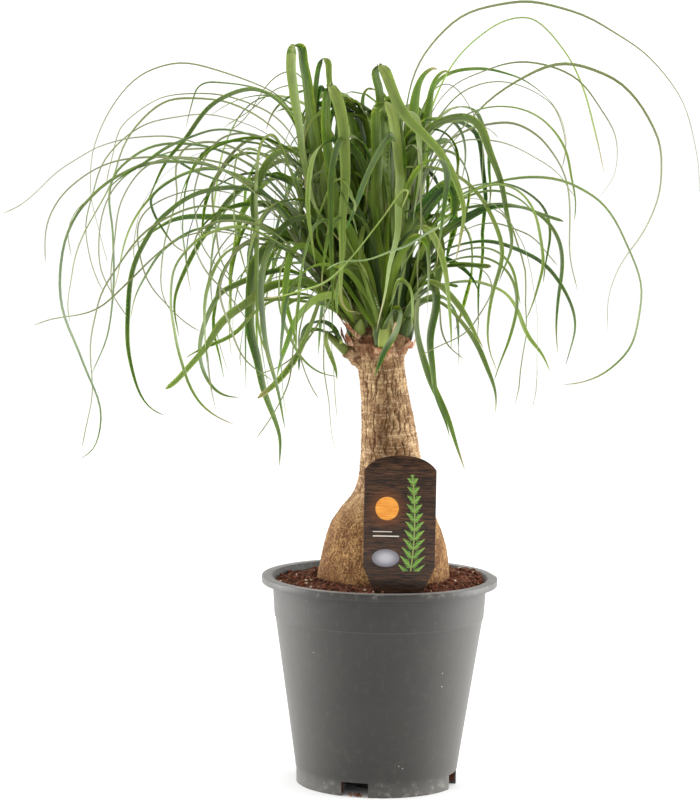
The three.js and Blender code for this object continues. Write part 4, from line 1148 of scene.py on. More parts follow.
def soil_height(x, y):
    """The soil's broad form: a low crown round the trunk, a mound and soft lumps."""
    radius = math.hypot(x, y)
    crown = SOIL_CROWN * smooth(-radius, -SOIL_CROWN_OUTER, -SOIL_CROWN_INNER)
    away = math.hypot(x - MOUND["x"], y - MOUND["y"]) / MOUND["spread"]
    mound = MOUND["height"] * math.exp(-0.5 * away * away)
    lumps = 0.7 * math.sin(x / 4.6 + 1) * math.cos(y / 4.6) + 0.4 * math.sin((x + y) / 2.9)
    return SOIL_LEVEL + crown + mound + lumps


def crumbly(x, y):
    """Fine lumps on top of the soil's broad form."""
    return 0.9 * noise.noise(Vector((x, y, 0)) / 2.6) + 0.5 * noise.noise(Vector((x, y, 7)) / 1.1)


def make_soil(settings):
    """The soil fills the pot, with a socket for the trunk and crumbs on top."""
    edge = NECK_RADIUS - WALL - GAP
    rings = int((edge - SOIL_INNER_EDGE) / SOIL_RING_STEP)
    surface = [(edge - EDGE / 2 - i * SOIL_RING_STEP, SOIL_LEVEL) for i in range(rings)]
    profile = pot_inside(GAP)
    profile += [(edge - EDGE, SOIL_LEVEL - SOIL_EDGE_DEPTH)] + surface
    first_socket = len(profile)
    profile += [(section_at(z)[1], z) for z in SOCKET_HEIGHTS] + [(0, SOCKET_HEIGHTS[-1] - GAP)]
    bm = spun(profile, SOIL_SIDES)
    row = bm.verts.layers.int["row"]
    for vert in bm.verts:
        x, y, z = vert.co
        if first_socket - rings <= vert[row] < first_socket:
            vert.co.z = soil_height(x, y) + crumbly(x, y)
        if first_socket <= vert[row] < len(profile) - 1:
            skin = trunk_skin(math.atan2(y, x), z)
            centre = Vector((section_at(z)[0], 0, z))
            vert.co = skin + (skin - centre).normalized() * GAP
        if vert[row] == first_socket:
            vert.co.z = soil_height(vert.co.x, vert.co.y) - 0.4
    bmesh.ops.recalc_face_normals(bm, faces=bm.faces)
    earth = soil_earth(settings.colour)
    cut_notches(finish(bm, "soil_bed", earth, ["soil"]), GAP)
    scatter_crumbs(settings, earth)


def scatter(bm, draws, fineness, place, size, flatness):
    """One rough grain: a small ball, squashed, turned and set down at a place."""
    made = bmesh.ops.create_icosphere(bm, subdivisions=fineness, radius=size / 2)["verts"]
    shape = Matrix.Diagonal((draws.between(0.7, 1.3), draws.between(0.6, 1.1), flatness, 1))
    turn = Matrix.Rotation(draws.between(0, 2 * math.pi), 4, "Z")
    tip = Matrix.Rotation(draws.between(-0.6, 0.6), 4, "X")
    for vert in made:
        vert.co *= 1 + 0.45 * noise.noise(vert.co / size * 2.2 + place)
    bmesh.ops.transform(bm, matrix=Matrix.Translation(place) @ turn @ tip @ shape, verts=made)


def soil_spot(draws, outermost):
    """A place on the bare ring of soil between the trunk and the pot."""
    while True:
        angle = draws.between(-math.pi, math.pi)
        radius = math.sqrt(draws.between(SOIL_CROWN_INNER ** 2, outermost ** 2))
        x, y = radius * math.cos(angle), radius * math.sin(angle)
        skin = trunk_skin(math.atan2(y, x - TRUNK_FOOT_X), TRUNK_FOOT_Z)
        clear = math.hypot(skin.x - TRUNK_FOOT_X, skin.y) + 2 * GAP
        if math.hypot(x - TRUNK_FOOT_X, y) > clear:
            return x, y


def joined(pieces):
    """Several bmeshes appended to one."""
    whole = bmesh.new()
    for bm in pieces:
        mesh = as_mesh(bm, "part")
        whole.from_mesh(mesh)
        bpy.data.meshes.remove(mesh)
    return whole


def scatter_crumbs(settings, earth):
    """Fine and coarse crumbs on the soil, a few fallen ones in a notch, and white grains."""
    draws = Draws(CRUMB_SEED)
    batches = []
    kinds = (settings.crumbs, 1, 0.7, 2.0), (settings.lumps, 2, 1.8, 4.2)
    for number, fineness, low, high in kinds:
        for first in range(0, number, CRUMB_BATCH):
            batches.append(bmesh.new())
            for _ in range(min(number - first, CRUMB_BATCH)):
                x, y = soil_spot(draws, CRUMBS_OUT_TO)
                size = draws.between(low, high)
                lift = draws.between(-0.1, 0.35) * size
                place = Vector((x, y, soil_height(x, y) + lift))
                scatter(batches[-1], draws, fineness, place, size, 0.7)
    batches.append(bmesh.new())
    turn = Matrix.Rotation(math.radians(NOTCH_FIRST_DEG), 3, "Z")
    for _ in range(FALLEN_CRUMBS):
        place = turn @ Vector((draws.between(-6, 6), draws.between(-57, -51), 0))
        size = draws.between(1.2, 3.2)
        place.z = size * 0.45 + GAP
        scatter(batches[-1], draws, 2, place, size, 0.6)
    finish(joined(batches), "soil_crumbs", earth)
    grains = bmesh.new()
    for _ in range(settings.grains):
        x, y = soil_spot(draws, GRAINS_OUT_TO)
        size = draws.between(1.0, 2.9)
        scatter(grains, draws, 2, Vector((x, y, soil_height(x, y) + 0.3 * size)), size, 0.75)
    finish(grains, "soil_grains", white_grain())


# Trunk


def fissure(point, angle, plates, wander, breaks, edge):
    """How deep in a crack between upright plates a point is, and the number of its plate."""
    drift = wander * noise.noise(point / 10.0) + 0.3 * wander * noise.noise(point / 3.6)
    lane = angle / (2 * math.pi) * plates + drift
    number = math.floor(lane) % plates
    aside = abs(lane - math.floor(lane) - 0.5) * 2
    run = noise.noise(Vector((round(lane) % plates * 5.7, 3.1, point.z / breaks)))
    return smooth(aside, edge, 1.0) * smooth(run, -0.22, 0.08), number


def bark_at(point, angle):
    """The bark at a point of the skin: its crack, its tone, with painted shade on the trunk's
    front, and its height over the skin.
    """
    warp = noise.noise(point / 8.0)
    tall = smooth(point.z, 190, 222)
    wide, plate = fissure(point, angle, PLATES, 0.5, 13.0, 0.78)
    narrow, _ = fissure(point + Vector((0, 0, 90)), angle, 2 * PLATES + 1, 0.7, 8.0, 0.55)
    storey = point.z / RING_STEP + 3.7 * math.sin(plate * 2.3) + 0.4 * warp
    ring = 0.5 * smooth(abs(storey - math.floor(storey) - 0.5) * 2, 0.84, 1.0)
    distances, _ = noise.voronoi(Vector((point.x / 2.4, point.y / 2.4, point.z / 3.0)))
    grain_crack = 1 - clamp((distances[1] - distances[0]) / 0.3, 0, 1)
    crack = mix(grain_crack * 0.55, max(wide, 0.85 * narrow, ring), tall)
    patch = 0.5 + 0.5 * noise.noise(point / 11.0 + Vector((0, 0, 11)))
    grain = 0.5 + 0.5 * noise.noise(Vector((point.x / 1.6, point.y / 1.6, point.z / 3.5)))
    block = 0.5 + 0.5 * noise.noise(Vector((plate * 3.3, 0.4, point.z / 9.0)))
    mottle = 0.5 * grain + 0.5 * patch
    tone = clamp(mix(mottle, 0.5 * mottle + 0.5 * block, tall), 0, 1)
    # painted shade: the tone darkens on the front of the trunk, the side towards the camera, below
    # the crown
    front = math.exp(-((angle + math.pi / 2) / 0.42) ** 2) * smooth(-point.z, -292, -262)
    tone = clamp(0.52 + (tone - 0.5) * 2.2 - 0.4 * front * tall, 0, 1)
    depth = mix(CRACK_DEPTH_BASE, CRACK_DEPTH_TRUNK, tall)
    scar = 0.2 * math.sin(point.z / 0.42 + 1.5 * math.sin(2 * angle) + 2.2 * warp) * tall
    height = 0.5 * (grain - 0.5) + scar - depth * crack + 0.8 * (patch - 0.5)
    return crack, tone, height


def barked(bm, red_from, red_to, outward):
    """Presses the bark's relief into a smooth form and keeps its look as an attribute."""
    layer = bm.verts.layers.float_vector.new("bark")
    bm.normal_update()
    moves = []
    for vert in bm.verts:
        angle = math.atan2(vert.co.y, vert.co.x)
        crack, tone, height = bark_at(vert.co, angle)
        red = smooth(vert.co.z, red_from, red_to)
        if red_to > red_from:
            red *= 0.4 + 0.6 * smooth(noise.noise(vert.co / 5.0), -0.2, 0.3)
        vert[layer] = (crack, tone, red)
        moves.append((vert, vert.normal * height * outward))
    for vert, move in moves:
        vert.co += move


def make_trunk(settings):
    """The trunk with its knobs and old cut, and the dry husks round its top."""
    bm = bmesh.new()
    bmesh.ops.create_grid(bm, x_segments=settings.columns, y_segments=settings.rows, size=1.0)
    bottom, top = TRUNK_SECTIONS[0][0], TRUNK_SECTIONS[-1][0]
    for vert in bm.verts:
        angle = math.pi * (vert.co.x + 1)
        up = (vert.co.y + 1) / 2
        body = clamp((up - CAP_SHARE) / (1 - 2 * CAP_SHARE), 0, 1)
        height = mix(bottom, top, body ** 0.85)
        closing = min(1.0, up / CAP_SHARE, (1 - up) / CAP_SHARE)
        if up > 0.5:
            height += CAP_RISE * math.sqrt(max(0.0, 1 - closing * closing))
        centre = section_at(min(height, top))
        skin = trunk_skin(angle, min(height, top), centre)
        middle = Vector((centre[0], 0, skin.z))
        vert.co = middle + (skin - middle) * closing
        vert.co.z = height
    bmesh.ops.remove_doubles(bm, verts=bm.verts, dist=1e-3)
    bmesh.ops.recalc_face_normals(bm, faces=bm.faces)
    barked(bm, 305, 326, 1.0)
    stubs = [bm]
    for head in HEADS.values():
        x, y, z = head["base"]
        foot = (CROWN_AXIS[0] + KNOB_LEAN * (x - CROWN_AXIS[0]), KNOB_LEAN * y, KNOB_FOOT)
        stubs.append(woody_stub(foot, (x, y, z), KNOB_FOOT_RADIUS, KNOB_RADIUS))
    stubs += [woody_stub(**LOW_STUB), woody_stub(**OLD_CUT)]
    bark = corky_bark(settings.colour, settings.crack_colour)
    finish(joined(stubs), "trunk_bark", bark, ["caudex_trunk"])
    husks = [husk_form(*row) for row in HUSKS] + [dry_strips()]
    finish(joined(husks), "dry_husks", dry_husk())


def husk_form(place, lean, radius, middle_deg, span_deg, tall, flare, ragged):
    """A dry leaf base: a thin curved strip that clasps a head, with a torn upper edge."""
    bm = bmesh.new()
    bmesh.ops.create_grid(bm, x_segments=10, y_segments=14, size=1.0)
    for vert in bm.verts:
        across, up = vert.co.x, (vert.co.y + 1) / 2
        tear = noise.noise(Vector((across * 6.3, tall, middle_deg)))
        torn = 1 - ragged * (abs(across) ** 1.5 + 0.5 * tear)
        angle = math.radians(middle_deg + 0.5 * span_deg * across * (1 - 0.45 * up))
        reach = radius + flare * up ** 2 + 0.25 * noise.noise(Vector((across * 2, up * 3, tall)))
        height = up * tall * torn
        x, y = reach * math.cos(angle) + lean[0] * up, reach * math.sin(angle) + lean[1] * up
        vert.co = (x, y, height)
    bmesh.ops.solidify(bm, geom=bm.faces[:], thickness=0.4)
    bmesh.ops.recalc_face_normals(bm, faces=bm.faces)
    return moved(bm, Matrix.Translation(place))


def dry_strips():
    """Old leaves dried to narrow strips."""
    bm = bmesh.new()
    form = blade_form(RISE_SEGMENTS)
    for width, depth, course in DRY_STRIPS:
        steps = np.array(course, dtype=float).reshape(-1, 2)
        points = np.array([as_seen(x, y, depth) for x, y in steps])
        look = {**DRY_LOOK, "width": width}
        bend_blade(form, curve_through(points, RISE_SEGMENTS, 0), look, width / 9, 0.0)
        bm.from_mesh(form[0])
    bpy.data.meshes.remove(form[0])
    return bm


def woody_stub(start, end, start_radius, end_radius, hollow=0.0):
    """A short knob that carries a head, with the rings of old leaf scars, or a hollow old cut."""
    start, end = Vector(start), Vector(end)
    along = end - start
    bm = bmesh.new()
    bmesh.ops.create_cone(
        bm, cap_ends=True, segments=STUB_SIDES, radius1=start_radius, radius2=end_radius,
        depth=along.length,
    )
    sides = [edge for edge in bm.edges if abs(edge.verts[0].co.z - edge.verts[1].co.z) > 1e-3]
    bmesh.ops.subdivide_edges(bm, edges=sides, cuts=18)
    caps = [face for face in bm.faces if len(face.verts) > 4]
    for _ in range(STUB_CAP_RINGS):
        bmesh.ops.inset_region(bm, faces=caps, thickness=end_radius / 7, use_even_offset=False)
        caps = [face for face in bm.faces if len(face.verts) > 4]
    for vert in bm.verts:
        if hollow and vert.co.z > 0.49 * along.length:
            inward = 1 - math.hypot(vert.co.x, vert.co.y) / end_radius
            vert.co.z -= hollow * smooth(inward, 0, 0.8)
        share = vert.co.z / along.length + 0.5
        scar = 0.35 * math.sin(share * 15) * smooth(share, 0, 0.3)
        flat = Vector((vert.co.x, vert.co.y, 0))
        if flat.length > 0.8 * end_radius:
            vert.co += flat.normalized() * scar
    turn = along.to_track_quat("Z", "Y").to_matrix().to_4x4()
    moved(bm, Matrix.Translation((start + end) / 2), turn)
    bmesh.ops.recalc_face_normals(bm, faces=bm.faces)
    barked(bm, 300, 318, 0.8)
    return bm


# Dry leaf bases: place of the foot, lean, radius, middle and span in degrees, height, flare and
# how torn
HUSKS = (
    ((-1, -17, 319), (1.8, -1.2), 8.0, 322, 50, 18, 1.0, 0.3),
    ((-1, -17, 313), (0.4, -0.5), 7.6, 292, 60, 5, 1.0, 0.35),
    ((-1, -17, 314), (0.1, -0.4), 7.8, 250, 60, 4.5, 1.0, 0.35),
    ((-19.5, -5.5, 318), (-1.6, -0.6), 8.2, 235, 50, 10, 1.2, 0.35),
    ((-19.5, -5.5, 319), (-2.0, 0.0), 8.2, 175, 50, 12, 1.4, 0.35),
    ((13.5, -5.5, 318), (1.8, 0.0), 8.0, 345, 60, 9, 1.2, 0.35),
    ((13.5, -5.5, 317), (0.8, -0.4), 8.2, 300, 60, 6, 1.0, 0.35),
    ((7, 14, 319), (0.5, 1.0), 8.2, 30, 60, 12, 1.4, 0.35),
    ((7, 14, 318), (0.2, 1.4), 8.2, 85, 60, 10, 1.4, 0.35),
    ((-13, 14, 319), (-0.5, 1.0), 8.2, 150, 60, 12, 1.4, 0.35),
    ((-13, 14, 318), (-0.2, 1.4), 8.2, 95, 60, 10, 1.4, 0.35),
)
# Dry strips that hang on at the foot of the crown: width, depth and course as seen from the front
DRY_LOOK = {"blunt": True, "folded": False, "side": 1, "turn_top": 30, "turn_tip": -40}
DRY_STRIPS = (
    (4.2, -15, (360, 338, 353, 332, 346, 325, 341, 318, 337, 311, 333, 303)),
    (2.6, -17, (354, 334, 347, 322, 342, 311, 338, 303)),
    (3.0, -8, (408, 336, 413, 331, 416, 326)),
)


# Leaf lines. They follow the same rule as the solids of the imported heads.


def view_axes():
    """The camera's sideways, upward and forward directions."""
    tilt = math.radians(CAMERA_TILT_DEG)
    yaw = math.radians(CAMERA_YAW_DEG)
    roll = math.radians(CAMERA_ROLL_DEG)
    flat = math.cos(tilt)
    forward = Vector((math.sin(yaw) * flat, math.cos(yaw) * flat, -math.sin(tilt)))
    right = Vector((math.cos(yaw), -math.sin(yaw), 0))
    up = right.cross(forward)
    side = math.cos(roll) * right + math.sin(roll) * up
    top = math.cos(roll) * up - math.sin(roll) * right
    return side, top, forward


def as_seen(across, down, depth):
    """The point at a depth that is seen at a step across and down the front view."""
    side, top, forward = view_axes()
    reach = VIEW_HEIGHT * CAMERA_LENS / CAMERA_SENSOR
    aside, below = across - VIEW_WIDTH / 2, down - VIEW_HEIGHT / 2
    ray = forward + side * aside / reach - top * below / reach
    eye = CAMERA_PLACE / MM
    return np.array(eye + ray * (depth - eye.y) / ray.y)


def level(vector):
    flat = np.array((vector[0], vector[1], 0.0))
    return flat / max(1e-12, math.sqrt(flat @ flat))


def sloped(heading, degrees):
    angle = math.radians(degrees)
    return heading * math.cos(angle) + np.array((0, 0, math.sin(angle)))


def bend(start, end, leaving, arriving, segments):
    """Points of one even bend between two places with given directions."""
    turn = math.acos(clamp(leaving @ arriving, -1, 1))
    chord = math.sqrt((end - start) @ (end - start))
    reach = chord / (3 * math.cos(turn / 4) ** 2)
    first, second = start + leaving * reach, end - arriving * reach
    share = np.linspace(0, 1, segments + 1)[:, None]
    rest = 1 - share
    return (
        rest ** 3 * start + 3 * rest ** 2 * share * first + 3 * rest * share ** 2 * second
        + share ** 3 * end
    )


def keep_in_sector(head, points, half_width):
    """Keeps a leaf inside its own head's part of the crown."""
    middle = math.radians(head["centre"])
    dx, dy = math.cos(middle), math.sin(middle)
    x, y = points[:, 0] - CROWN_AXIS[0], points[:, 1] - CROWN_AXIS[1]
    radial = np.maximum(INNERMOST, x * dx + y * dy)
    half_sector = head.get("half_sector", HALF_SECTOR)
    free = (half_width + SIDE_CLEARANCE) / math.cos(half_sector)
    limit = np.maximum(1, radial * math.tan(half_sector) - free)
    share = (y * dx - x * dy) / limit
    beyond = (np.abs(share) - SOFT_SHARE) / (1 - SOFT_SHARE)
    softened = np.sign(share) * (SOFT_SHARE + (1 - SOFT_SHARE) * np.tanh(beyond))
    lateral = np.where(beyond > 0, softened, share) * limit
    kept = points.copy()
    kept[:, 0] = CROWN_AXIS[0] + radial * dx - lateral * dy
    kept[:, 1] = CROWN_AXIS[1] + radial * dy + lateral * dx
    return kept


def leaf_line(head, leaf, rise_segments, fall_segments):
    """The middle line of a leaf: up from its head to the top of its arch and down to its tip."""
    base = np.array(head["base"], dtype=float)
    heading = level(leaf["top"] - base)
    tallness = clamp((leaf["top"][2] - base[2]) / TALLEST_RISE, 0, 1)
    start = base + heading * (ROOT_OUTER + (ROOT_INNER - ROOT_OUTER) * tallness)
    start[2] += ROOT_LOW + (ROOT_HIGH - ROOT_LOW) * tallness
    last = level(leaf["tip"] - start)
    run = math.hypot(leaf["top"][0] - start[0], leaf["top"][1] - start[1])
    climb = math.degrees(math.atan2(leaf["top"][2] - start[2], run))
    first = sloped(heading, clamp(2 * climb, *FIRST_SLOPES))
    rise = bend(start, leaf["top"], first, heading, rise_segments)
    fall = bend(leaf["top"], leaf["tip"], heading, sloped(last, leaf["slope_tip"]), fall_segments)
    points = np.vstack((rise, fall[1:]))
    if head["centre"] is None:
        return points
    return keep_in_sector(head, points, leaf["width"] / 2)


def crowding(head, line, placed):
    """How closely a leaf runs beside the leaves already in its head."""
    if not placed:
        return 0.0
    base = np.array(head["base"], dtype=float)
    line = line[np.linalg.norm(line - base, axis=1) >= CROWD_START]
    starts = np.vstack([other[:-1] for other in placed])
    runs = np.vstack([other[1:] - other[:-1] for other in placed])
    away = line[:, None, :] - starts[None]
    share = np.clip((away * runs[None]).sum(2) / (runs * runs).sum(1)[None], 0, 1)
    gap = np.linalg.norm(away - share[..., None] * runs[None], axis=2)
    return float(np.maximum(0, 1 - gap / CROWD_DISTANCE).sum())


def pick_leaf(head, choices, placed):
    """The least crowded of several ways to place one leaf."""
    best, best_line, least = None, None, None
    for leaf in choices:
        line = leaf_line(head, leaf, CROWD_STEPS, CROWD_STEPS)
        crowd = crowding(head, line, placed)
        if least is None or crowd < least:
            best, best_line, least = leaf, line, crowd
    placed.append(best_line)
    return best


def resampled(points, segments, bend_weight=0.0):
    """A polyline's points moved to even steps along it, closer together where it bends."""
    runs = np.diff(points, axis=0)
    steps = np.linalg.norm(runs, axis=1)
    ways = runs / steps[:, None]
    turns = np.arccos(np.clip((ways[1:] * ways[:-1]).sum(1), -1, 1))
    steps[1:] += bend_weight * turns
    lengths = np.concatenate(((0,), np.cumsum(steps)))
    places = np.linspace(0, lengths[-1], segments + 1)
    return np.column_stack([np.interp(places, lengths, points[:, axis]) for axis in range(3)])


def curve_through(points, segments, easings):
    """Even steps along a smooth curve through a few points, eased a number of times."""
    gaps = np.linalg.norm(np.diff(points, axis=0), axis=1)
    places = np.concatenate(((0,), np.cumsum(gaps)))
    slopes = np.gradient(points, places, axis=0)
    dense = [points[:1]]
    share = np.linspace(0, 1, CURVE_STEPS + 1)[1:, None]
    for i, gap in enumerate(gaps):
        dense.append(hermite(points[i], points[i + 1], gap * slopes[i], gap * slopes[i + 1], share))
    dense = np.vstack(dense)
    for _ in range(easings):
        dense[1:-1] = (dense[:-2] + 2 * dense[1:-1] + dense[2:]) / 4
    return resampled(dense, segments, BEND_WEIGHT)


def course_line(head, steps, top_depth, tip_depth, easings):
    """The middle line of a leaf whose course is known from the front."""
    places = np.concatenate(((0,), np.cumsum(np.linalg.norm(np.diff(steps, axis=0), axis=1))))
    top = places[np.argmin(steps[:, 1])]
    depths = np.interp(places, (0, top, places[-1]), (head["base"][1], top_depth, tip_depth))
    points = np.array([as_seen(x, y, depth) for (x, y), depth in zip(steps, depths)])
    points[0] = np.array(head["base"]) + np.array((0, 0, ROOT_LOW))
    return curve_through(points, COURSE_SEGMENTS, easings)


def drawn_leaf(head, draws, aside, tier, kind):
    """A leaf drawn at random for one place in a head: how far aside and its tier, both 0 to 1."""
    reaches, reach_shares, heights, height_gain, drops, drop_shares, widths = kind
    middle = head.get("fan", head["centre"]) + FAN_DEG * (aside - 0.5)
    heading = math.radians(middle + draws.between(-SWAY_DEG, SWAY_DEG))
    reach = draws.between(*reaches) * mix(*reach_shares, tier)
    height = draws.between(*heights) + height_gain * tier
    drop = draws.between(*drops) * mix(*drop_shares, tier)
    spread = reach * draws.between(*TIP_SPREAD)
    swing = heading + math.radians(draws.between(-SWAY_DEG, SWAY_DEG))
    x, y, z = head["base"]
    tip_z = max(LOWEST_TIP, z + height - drop)
    return {
        "top": np.array((x + reach * math.cos(heading), y + reach * math.sin(heading), z + height)),
        "tip": np.array((x + spread * math.cos(swing), y + spread * math.sin(swing), tip_z)),
        "slope_tip": -draws.between(*TIP_SLOPE),
        "width": draws.between(*widths),
        "twist": draws.between(*TWIST),
    }


def low_leaves():
    return [
        {
            "top": np.array(top, dtype=float),
            "tip": np.array(tip, dtype=float),
            "slope_tip": slope_tip,
            "width": width,
            "twist": twist,
        }
        for top, tip, slope_tip, twist, width in LOW_LEAVES
    ]


def known_leaves(name):
    """The leaves of a head whose courses are known: their looks and middle lines."""
    head = HEADS[name]
    found = []
    for width, top_depth, tip_depth, course, *look in COURSES[name]:
        turn_top, turn_tip = look[:2] or USUAL_TURNS
        kind = look[2] if len(look) > 2 else PLAIN
        steps = np.array(course, dtype=float).reshape(-1, 2)
        crest = int(np.argmin(steps[:, 1]))
        ahead, behind = min(crest + 1, len(steps) - 1), max(crest - 1, 0)
        look = {
            "width": width,
            "blunt": kind == BLUNT,
            "folded": kind == FOLDED,
            "tone": TONES.get(kind),
            "side": 1 if steps[ahead, 0] < steps[behind, 0] else -1,
            "turn_top": turn_top,
            "turn_tip": turn_tip,
        }
        easings = 0 if kind == FOLDED else EASINGS
        found.append((look, course_line(head, steps, top_depth, tip_depth, easings)))
    return found


def filling_leaves(name, known):
    """Leaves drawn for the room that the known ones leave in their head."""
    head = HEADS[name]
    draws = Draws(head["seed"])
    placed = [resampled(line, 2 * CROWD_STEPS) for _, line in known]
    leaves = []
    for number, kind in zip(FILL[name], (ARCHING, UPRIGHT)):
        for i in range(number):
            tier = ((i * TIER_STEP) % number) / (number - 1)
            aside = (i + 0.5) / number
            choices = [drawn_leaf(head, draws, aside, tier, kind) for _ in range(DRAWS_PER_LEAF)]
            leaves.append(pick_leaf(head, choices, placed))
    return leaves


def fine_leaves(name):
    """Finer leaves between the main ones, and threads."""
    head = HEADS[name]
    draws = Draws(head["seed"] + FINE_SEED_STEP)
    return [
        drawn_leaf(head, draws, (i * GOLDEN) % 1.0, (i + 0.5) / number, kind)
        for number, kind in zip(FINE[name], (FINE_ARCHING, FINE_UPRIGHT, THREAD))
        for i in range(number)
    ]


# Blades


def blade_form(segments):
    """A closed four-cornered tube in even steps, with its places across and under as a UV map."""
    bm = bmesh.new()
    bmesh.ops.create_cone(bm, cap_ends=True, segments=4, radius1=1, radius2=1, depth=1)
    sides = [edge for edge in bm.edges if abs(edge.verts[0].co.z - edge.verts[1].co.z) > 0.5]
    bmesh.ops.subdivide_edges(bm, edges=sides, cuts=segments - 1)
    bmesh.ops.recalc_face_normals(bm, faces=bm.faces)
    uv = bm.loops.layers.uv.new("blade")
    for face in bm.faces:
        under = face.calc_center_median().y < 0
        for loop in face.loops:
            x, _, z = loop.vert.co
            loop[uv].uv = ((x + 1) / 2 + (2 if under else 0), z + 0.5)
    for edge in bm.edges:
        on_margin = all(abs(vert.co.x) > 0.5 for vert in edge.verts)
        edge.smooth = not on_margin
    mesh = as_mesh(bm, f"blade_{segments}")
    mesh.attributes.new("leaf", "FLOAT_VECTOR", "POINT")
    corners = np.empty(len(mesh.vertices) * 3)
    mesh.vertices.foreach_get("co", corners)
    corners = corners.reshape(-1, 3)
    ring = np.rint((corners[:, 2] + 0.5) * segments).astype(int)
    return mesh, ring, np.rint(corners[:, 0]), np.rint(corners[:, 1])


def frames_along(line, look, tone):
    """Arc lengths, sideways directions and face directions at each point of a leaf's line."""
    steps = np.linalg.norm(np.diff(line, axis=0), axis=1)
    lengths = np.concatenate(((0,), np.cumsum(steps)))
    ahead = np.vstack((line[1:], line[-1:]))
    behind = np.vstack((line[:1], line[:-1]))
    along = ahead - behind
    along /= np.linalg.norm(along, axis=1)[:, None]
    places = lengths / lengths[-1]
    wobble = ROLL_WOBBLE_DEG * places * np.sin(2 * math.pi * (1.3 * places + 3.7 * tone))
    if "side" in look:
        crest = places[np.argmax(line[:, 2])]
        stations = [(0, FOOT_TURN), (crest, look["turn_top"]), (1.001, look["turn_tip"])]
        if look["folded"]:
            before, after = (crest - FOLD_SPAN, FOLD_TURN), (crest + FOLD_SPAN, look["turn_tip"])
            stations[1:2] = [before, (crest, 90), after]
        else:
            late_turn = mix(look["turn_top"], look["turn_tip"], LATE_TURN_SHARE)
            stations.insert(2, (mix(crest, 1, LATE_TURN_PLACE), late_turn))
        turns = (stations_at(stations, places) + 0.5 * wobble) * look["side"]
        settle = TOWARDS_FRONT
    else:
        turns = look["twist"] * places + wobble
        settle = 0.0
    front = -np.array(view_axes()[2])
    upper = np.array((0.0, 0.0, 1.0)) if settle == 0 else front
    sides, faces = [], []
    for turn, direction in zip(np.radians(turns), along):
        upper = upper + settle * front
        upper = upper - (upper @ direction) * direction
        upper /= math.sqrt(upper @ upper)
        face = upper * math.cos(turn) + np.cross(direction, upper) * math.sin(turn)
        faces.append(face)
        sides.append(np.cross(face, direction))
    return lengths, np.array(sides), np.array(faces)


def bend_blade(form, line, look, tone, waviness):
    """Sets the tube's corners along a leaf's line: a channelled upper face over a shallow keel."""
    mesh, ring, across, up = form
    lengths, sides, faces = frames_along(line, look, tone)
    place = lengths / lengths[-1]
    shares = stations_at(BLUNT_BLADE_WIDTH if look.get("blunt") else BLADE_WIDTH, place)
    half = np.maximum(0.5 * look["width"] * shares, min(LEAST_HALF_WIDTH, 0.3 * look["width"]))
    half[-1] *= 0.3
    channel = stations_at(CHANNEL, place) * half
    thick = BLADE_THICKNESS * (0.35 + 0.65 * shares) * min(1.0, look["width"] / 4)
    sway = waviness * WAVE_HEIGHT * np.sin(lengths / WAVE_LENGTH * 2 * math.pi + tone * 40)
    sway *= np.minimum(1, lengths / 40)
    middle = line + sides * sway[:, None]
    lift = np.where(up > 0, -channel[ring], np.where(up < 0, -(channel + thick)[ring], 0.0))
    spread = (across * half[ring])[:, None]
    corners = middle[ring] + sides[ring] * spread + faces[ring] * lift[:, None]
    mesh.vertices.foreach_set("co", corners.ravel())
    count = len(ring)
    marks = np.column_stack((place[ring], np.full(count, tone), np.full(count, lengths[-1] / 100)))
    mesh.attributes["leaf"].data.foreach_set("vector", marks.ravel())


def make_blades(head, known, leaves, draws, settings):
    """All of a head's leaves in one bmesh."""
    whole = bmesh.new()
    drawn = [(leaf, leaf_line(head, leaf, RISE_SEGMENTS, FALL_SEGMENTS)) for leaf in leaves]
    for group, segments in ((known, COURSE_SEGMENTS), (drawn, RISE_SEGMENTS + FALL_SEGMENTS)):
        form = blade_form(segments)
        for look, line in group:
            wide = {**look, "width": look["width"] * settings.width_scale}
            tone = look.get("tone") or draws.between(0, 1)
            if look["width"] <= THIN_WIDTH and not look.get("tone"):
                tone = THREAD_TONE if look["width"] <= THREAD_WIDTH else THIN_TONE
            bend_blade(form, line, wide, tone, draws.between(0.2, 1))
            whole.from_mesh(form[0])
        bpy.data.meshes.remove(form[0])
    return whole


def leaf_layers(bm):
    """The attribute and the UV map that the leaves' material reads."""
    return bm.verts.layers.float_vector.new("leaf"), bm.loops.layers.uv.new("blade")


def core_form(head):
    """The tight bundle of leaf bases in the middle of a head, pleated lengthwise."""
    bm = spun(CORE_PROFILE, CORE_SIDES)
    bmesh.ops.subdivide_edges(bm, edges=bm.edges, cuts=1)
    leaf, uv = leaf_layers(bm)
    for vert in bm.verts:
        angle = math.atan2(vert.co.y, vert.co.x)
        pleat = 1 + 0.07 * math.sin(9 * angle + vert.co.z / 6)
        vert.co.x *= pleat
        vert.co.y *= pleat
        vert[leaf] = SHADED_CORE_MARK
        for loop in vert.link_loops:
            loop[uv].uv = (0.5 + 0.45 * math.sin(4 * angle), vert.co.z / 50)
    return moved(bm, Matrix.Translation(head["base"]))


def low_core_form():
    """The plain bundle of leaf bases in the small side shoot."""
    along = Vector(LOW_HEAD["lean"]).normalized()
    length = LOW_CORE["length"] + LOW_CORE["sunk"]
    profile = [(0, 0), (LOW_CORE["radius"], 0), (LOW_CORE["tip"], length), (0, length)]
    bm = spun(profile, LOW_CORE_SIDES)
    leaf, _ = leaf_layers(bm)
    for vert in bm.verts:
        vert[leaf] = SHADED_CORE_MARK
    foot = Vector(LOW_HEAD["base"]) - along * LOW_CORE["sunk"]
    return moved(bm, Matrix.Translation(foot), along.to_track_quat("Z", "Y").to_matrix().to_4x4())


